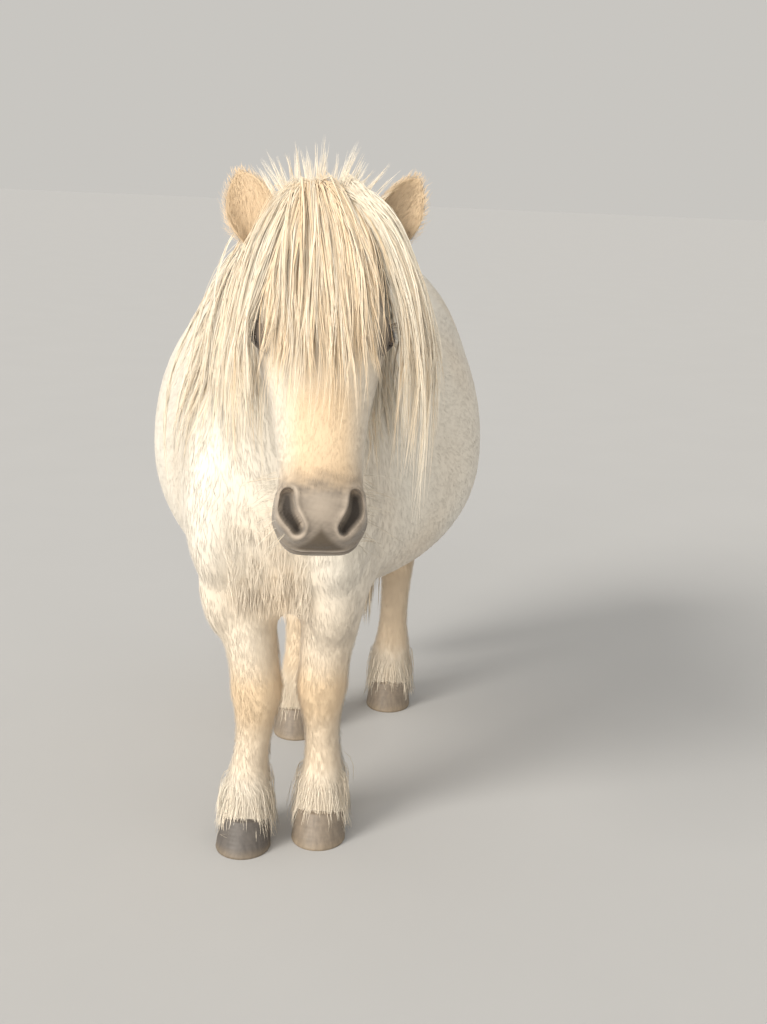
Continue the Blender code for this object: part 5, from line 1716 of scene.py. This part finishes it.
class PONY_OT_eyes(bpy.types.Operator):
    """Makes both eyeballs"""

    bl_idname = "pony.eyes"
    bl_label = "Eyes"

    def execute(self, context):
        for side, name in ((-1, "right"), (1, "left")):
            middle, (points, triangles), axes = eye_surface(side)
            mesh = mesh_of("eyeball_" + name, points, triangles)
            add_colours(mesh, eye_colours(points, middle, axes))
            show("eyeball_" + name, mesh, eye_material(), ("eye_" + name,))
        return {"FINISHED"}


class PONY_OT_coat(bpy.types.Operator):
    """Makes the short coat, in tufts that follow its lie"""

    bl_idname = "pony.coat"
    bl_label = "Short coat"

    def execute(self, context):
        rng = np.random.default_rng(21)
        look = context.scene.pony_coat
        mesh, _ = skin()
        points, normals = read_points(mesh)
        density = tuft_density(points)
        roots, normals = scatter(points, normals, read_triangles(mesh), density, look.tufts, rng)
        ways = lie_of(roots, normals)
        ways = unit(ways + rng.normal(0, 0.16, ways.shape))
        ways = unit(ways - normals * dot(ways, normals)[:, None])
        lengths = tuft_length(roots, normals) * rng.uniform(0.72, 1.25, len(roots))
        slim = 1.0 - 0.30 * ear_share(roots) - 0.25 * leg_share(roots)
        widths = (0.0005 + 0.024 * lengths) * slim
        lift = tuft_lift(roots, normals)
        uneven = 0.02 + 0.02 * leg_share(roots) + 0.065 * head_share(roots)
        uneven = 1.0 + uneven * rng.uniform(-1.1, 0.9, len(roots))
        # The hollow side of the ears is made 7% lighter: partly its paler hair, partly painted light
        # in its shade.
        colours = coat_colours(roots) * (uneven + 0.07 * inside_ears(roots, normals))[:, None]
        head = head_share(roots) > 0.5
        leg = (leg_share(roots) > 0.5) & ~head
        for part, mask in (("head", head), ("legs", leg), ("body", ~head & ~leg)):
            picked = np.flatnonzero(mask)
            shares = math.ceil(len(picked) / TUFTS_IN_A_PIECE)
            for k, some in enumerate(np.array_split(picked, shares)):
                tuft_piece(f"coat_{part}_{k + 1}", roots[some], normals[some], ways[some],
                           lengths[some], widths[some], colours[some], part, lift[some], rng)
        return {"FINISHED"}


class PONY_OT_forelock(bpy.types.Operator):
    """Makes the forelock in its three parts"""

    bl_idname = "pony.forelock"
    bl_label = "Forelock"

    def execute(self, context):
        rng = np.random.default_rng(22)
        width = context.scene.pony_hair.hair_width
        bunches, members = 6, 5
        for name, (guides, warm, _) in FORELOCK_PARTS.items():
            low = 1.0 - np.arange(guides) % 3 / 2
            paths = fine_locks(forelock_paths(rng, name), bunches, members, 0.0085, rng, 0.30)
            tone = np.repeat(warm + 0.30 * low, bunches)
            colours = hair_colours(guides * bunches, members, tone, rng)
            kept = clear_of_eyes(paths, rng)
            widths = width * rng.uniform(0.40, 0.85, len(paths))
            hair_piece(name, paths[kept], widths[kept], colours[kept], "head", rng, (), FACE_FRONT)
        return {"FINISHED"}


class PONY_OT_poll_tuft(bpy.types.Operator):
    """Makes the short spiky hair that stands up between the ears"""

    bl_idname = "pony.poll_tuft"
    bl_label = "Poll tuft"

    def execute(self, context):
        rng = np.random.default_rng(23)
        tree = around_tree()
        paths, colours = [], []
        for guides, members, apart, lean, length, tip in (
                (72, 7, 0.038, 0.58, 0.108, 0.0008), (220, 4, 0.042, 0.80, 0.052, 0.006)):
            share = np.linspace(-1, 1, guides) + rng.uniform(-0.12, 0.12, guides)
            starts = on_head(np.stack([
                rng.uniform(-0.036, -0.002, guides), np.full(guides, 0.2),
                apart * share - 0.006], axis=1))
            roots, normals = landing(tree, starts, -FACE_OUT)
            turn = np.maximum(lean * share + rng.normal(0, 0.12, guides) + 0.08, -0.70)
            heading = np.stack([
                np.sin(turn), -0.10 + rng.uniform(-0.35, 0.25, guides), np.cos(turn)], axis=1)
            length = length * rng.uniform(0.55, 1.06, guides)
            made = hang(roots, normals, heading, length, tree, 0.003, 0.45, 10)
            paths.append(locks(made, members, 0.0055, tip, rng, 0.30, 0.002, 9, 0.05))
            colours.append(hair_colours(guides, members, 0.08, rng))
        paths, colours = np.concatenate(paths), np.concatenate(colours)
        widths = rng.uniform(0.0005, 0.0009, len(paths))
        hair_piece("poll_tuft", paths, widths, colours, "head", rng, (), FACE_FRONT)
        return {"FINISHED"}


class PONY_OT_mane(bpy.types.Operator):
    """Makes the mane down both sides of the neck"""

    bl_idname = "pony.mane"
    bl_label = "Mane"

    def execute(self, context):
        rng = np.random.default_rng(24)
        width = context.scene.pony_hair.hair_width
        bunches, members = 5, 6
        for side, name, guides in ((-1, "right", 78), (1, "left", 62)):
            paths = mane_paths(side, rng, guides)
            paths = fine_locks(paths, bunches, members, 0.018, rng, 0.42, 0.013, 10)
            colours = hair_colours(guides * bunches, members, 0.30, rng)
            widths = width * rng.uniform(0.5, 1.0, len(paths))
            hair_piece("mane_" + name, paths, widths, colours, "body", rng)
        return {"FINISHED"}


class PONY_OT_tail(bpy.types.Operator):
    """Makes the hair of the tail"""

    bl_idname = "pony.tail"
    bl_label = "Tail"

    def execute(self, context):
        rng = np.random.default_rng(25)
        width = context.scene.pony_hair.hair_width
        guides = tail_paths(rng)
        paths = locks(guides, 32, 0.012, 0.011, rng, steps=13)
        colours = hair_colours(len(guides), 32, 0.25, rng)
        widths = width * rng.uniform(0.9, 1.5, len(paths))
        hair_piece("tail_hair", paths, widths, colours, "tail", rng, ("tail",))
        return {"FINISHED"}


class PONY_OT_feathers(bpy.types.Operator):
    """Makes the feather of each foot"""

    bl_idname = "pony.feathers"
    bl_label = "Feathers"

    def execute(self, context):
        rng = np.random.default_rng(26)
        members = 11
        paths = np.concatenate([
            locks(feather_paths(leg, rng), members, 0.010, 0.0070, rng, 0.60, 0.003, 7, 0.01)
            for leg in FEET])
        pale = hair_colours(len(paths) // members, members, 0.15, rng)
        colours = mix(coat_colours(paths[:, 0]), pale, 0.45)
        colours = colours * rng.uniform(0.95, 1.05, (len(paths), 1))
        widths = rng.uniform(0.0006, 0.0011, len(paths))
        hair_piece("feathers", paths, widths, colours, "legs", rng)
        return {"FINISHED"}


class PONY_OT_fringes(bpy.types.Operator):
    """Makes the whiskers, the lashes and the longer hair of the breast"""

    bl_idname = "pony.fringes"
    bl_label = "Fringes"

    def execute(self, context):
        rng = np.random.default_rng(29)
        face, lashes = whisker_paths(rng)
        pale = hair_colours(len(face), 1, 0.25, rng)
        hair_piece("whiskers", face, np.full(len(face), 0.0008), pale, "head", rng)
        dark = np.tile([0.30, 0.21, 0.14], (len(lashes), 1))
        hair_piece("lashes", lashes, np.full(len(lashes), 0.0006), dark, "head", rng)
        guides = breast_paths(rng)
        paths = locks(guides, 7, 0.014, 0.009, rng, 0.50, 0.0012, 7, 0.02)
        colours = coat_colours(paths[:, 0]) * rng.uniform(0.92, 1.05, (len(paths), 1))
        widths = rng.uniform(0.0005, 0.0009, len(paths))
        hair_piece("breast_hair", paths, widths, colours, "body", rng, (), BREAST_FRONT)
        return {"FINISHED"}


class PONY_OT_hooves(bpy.types.Operator):
    """Makes the four hooves"""

    bl_idname = "pony.hooves"
    bl_label = "Hooves"

    def execute(self, context):
        for leg in FEET:
            points, triangles = hoof_surface(leg)
            mesh = mesh_of("horn_" + leg, points, triangles)
            shade = (0.115, 0.100, 0.088) if leg == "front_right" else (0.23, 0.185, 0.14)
            soil = ramp(points[:, 2], 0.018, 0.0)
            colours = mix(np.tile(shade, (len(points), 1)),
                          np.array([0.30, 0.23, 0.15]), 0.5 * soil)
            add_colours(mesh, colours)
            show("horn_" + leg, mesh, horn_material(), ("hoof_" + leg,))
        return {"FINISHED"}


class PONY_OT_stage(bpy.types.Operator):
    """Makes the floor, the lights and the camera"""

    bl_idname = "pony.stage"
    bl_label = "Stage"

    def execute(self, context):
        corners = np.array([(-1, -1, 0), (1, -1, 0), (1, 1, 0), (-1, 1, 0)]) * FLOOR_HALF_WIDTH
        floor_mesh = mesh_of("floor", corners, np.array([[0, 1, 2, 3]]))
        paint, tree, shader = shader_of("pale_floor", {"Roughness": 0.85})
        shade = noise_node(tree, object_coordinates(tree), 3.0)
        ramped = ranged(tree, shade, 0.525, 0.545)
        tree.links.new(ramped, shader.inputs["Base Color"])
        floor_mesh.materials.append(paint)
        floor = bpy.data.objects.new("floor", floor_mesh)
        context.scene.collection.objects.link(floor)
        self.sun("key", (-0.68, -0.78, 0.60), 2.55, 24.0, (1.0, 0.955, 0.880))
        self.sun("fill", (-0.10, -1.0, 0.24), 1.42, 40.0, (1.0, 0.98, 0.95))
        world = bpy.data.worlds.new("pale_room")
        world.use_nodes = True
        sky = world.node_tree.nodes["Background"]
        sky.inputs["Color"].default_value = (1.0, 0.972, 0.918, 1.0)
        sky.inputs["Strength"].default_value = 0.58
        context.scene.world = world
        context.scene.view_settings.view_transform = "Standard"
        self.camera(context)
        return {"FINISHED"}

    def sun(self, name, place, power, angle, colour):
        """A wide soft light that shines from a place towards the middle of the floor."""
        data = bpy.data.lights.new(name, "SUN")
        data.energy = power
        data.angle = math.radians(angle)
        data.color = colour
        obj = bpy.data.objects.new(name, data)
        obj.rotation_euler = (-Vector(place)).to_track_quat("-Z", "Y").to_euler()
        bpy.context.scene.collection.objects.link(obj)

    def camera(self, context):
        """The camera at the photograph's place, height and roll."""
        data = bpy.data.cameras.new("camera")
        data.lens = CAMERA_LENS
        data.sensor_width = 36.0
        obj = bpy.data.objects.new("camera", data)
        obj.location = Vector(CAMERA_PLACE) + Vector(SHIFT)
        way = Vector((
            -math.sin(CAMERA_YAW) * math.cos(CAMERA_PITCH),
            math.cos(CAMERA_YAW) * math.cos(CAMERA_PITCH), -math.sin(CAMERA_PITCH)))
        obj.rotation_mode = "QUATERNION"
        roll = Quaternion((0.0, 0.0, 1.0), CAMERA_ROLL)
        obj.rotation_quaternion = way.to_track_quat("-Z", "Y") @ roll
        context.scene.collection.objects.link(obj)
        context.scene.camera = obj


OPERATORS = (
    PONY_OT_skin, PONY_OT_eyes, PONY_OT_coat, PONY_OT_forelock, PONY_OT_poll_tuft, PONY_OT_mane,
    PONY_OT_tail, PONY_OT_feathers, PONY_OT_fringes, PONY_OT_hooves, PONY_OT_stage,
)


class VIEW3D_PT_pony(bpy.types.Panel):
    """Lists the pieces of the pony"""

    bl_label = "Shetland Pony"
    bl_space_type = "VIEW_3D"
    bl_region_type = "UI"
    bl_category = "Pony"

    def draw(self, context):
        for group in (context.scene.pony_coat, context.scene.pony_hair):
            box = self.layout.box()
            for key in group.__annotations__:
                box.prop(group, key)
        for kind in OPERATORS:
            self.layout.operator(kind.bl_idname)


CLASSES = (PonyCoat, PonyHair, *OPERATORS, VIEW3D_PT_pony)


def register():
    """Adds the classes and the pony's settings."""
    for kind in CLASSES:
        bpy.utils.register_class(kind)
    bpy.types.Scene.pony_coat = PointerProperty(type=PonyCoat)
    bpy.types.Scene.pony_hair = PointerProperty(type=PonyHair)


def unregister():
    """Takes them away again."""
    del bpy.types.Scene.pony_hair
    del bpy.types.Scene.pony_coat
    for kind in reversed(CLASSES):
        bpy.utils.unregister_class(kind)


def main():
    """Makes every piece in order."""
    register()
    for kind in OPERATORS:
        group, name = kind.bl_idname.split(".")
        getattr(getattr(bpy.ops, group), name)()


if __name__ == "__main__":
    main()
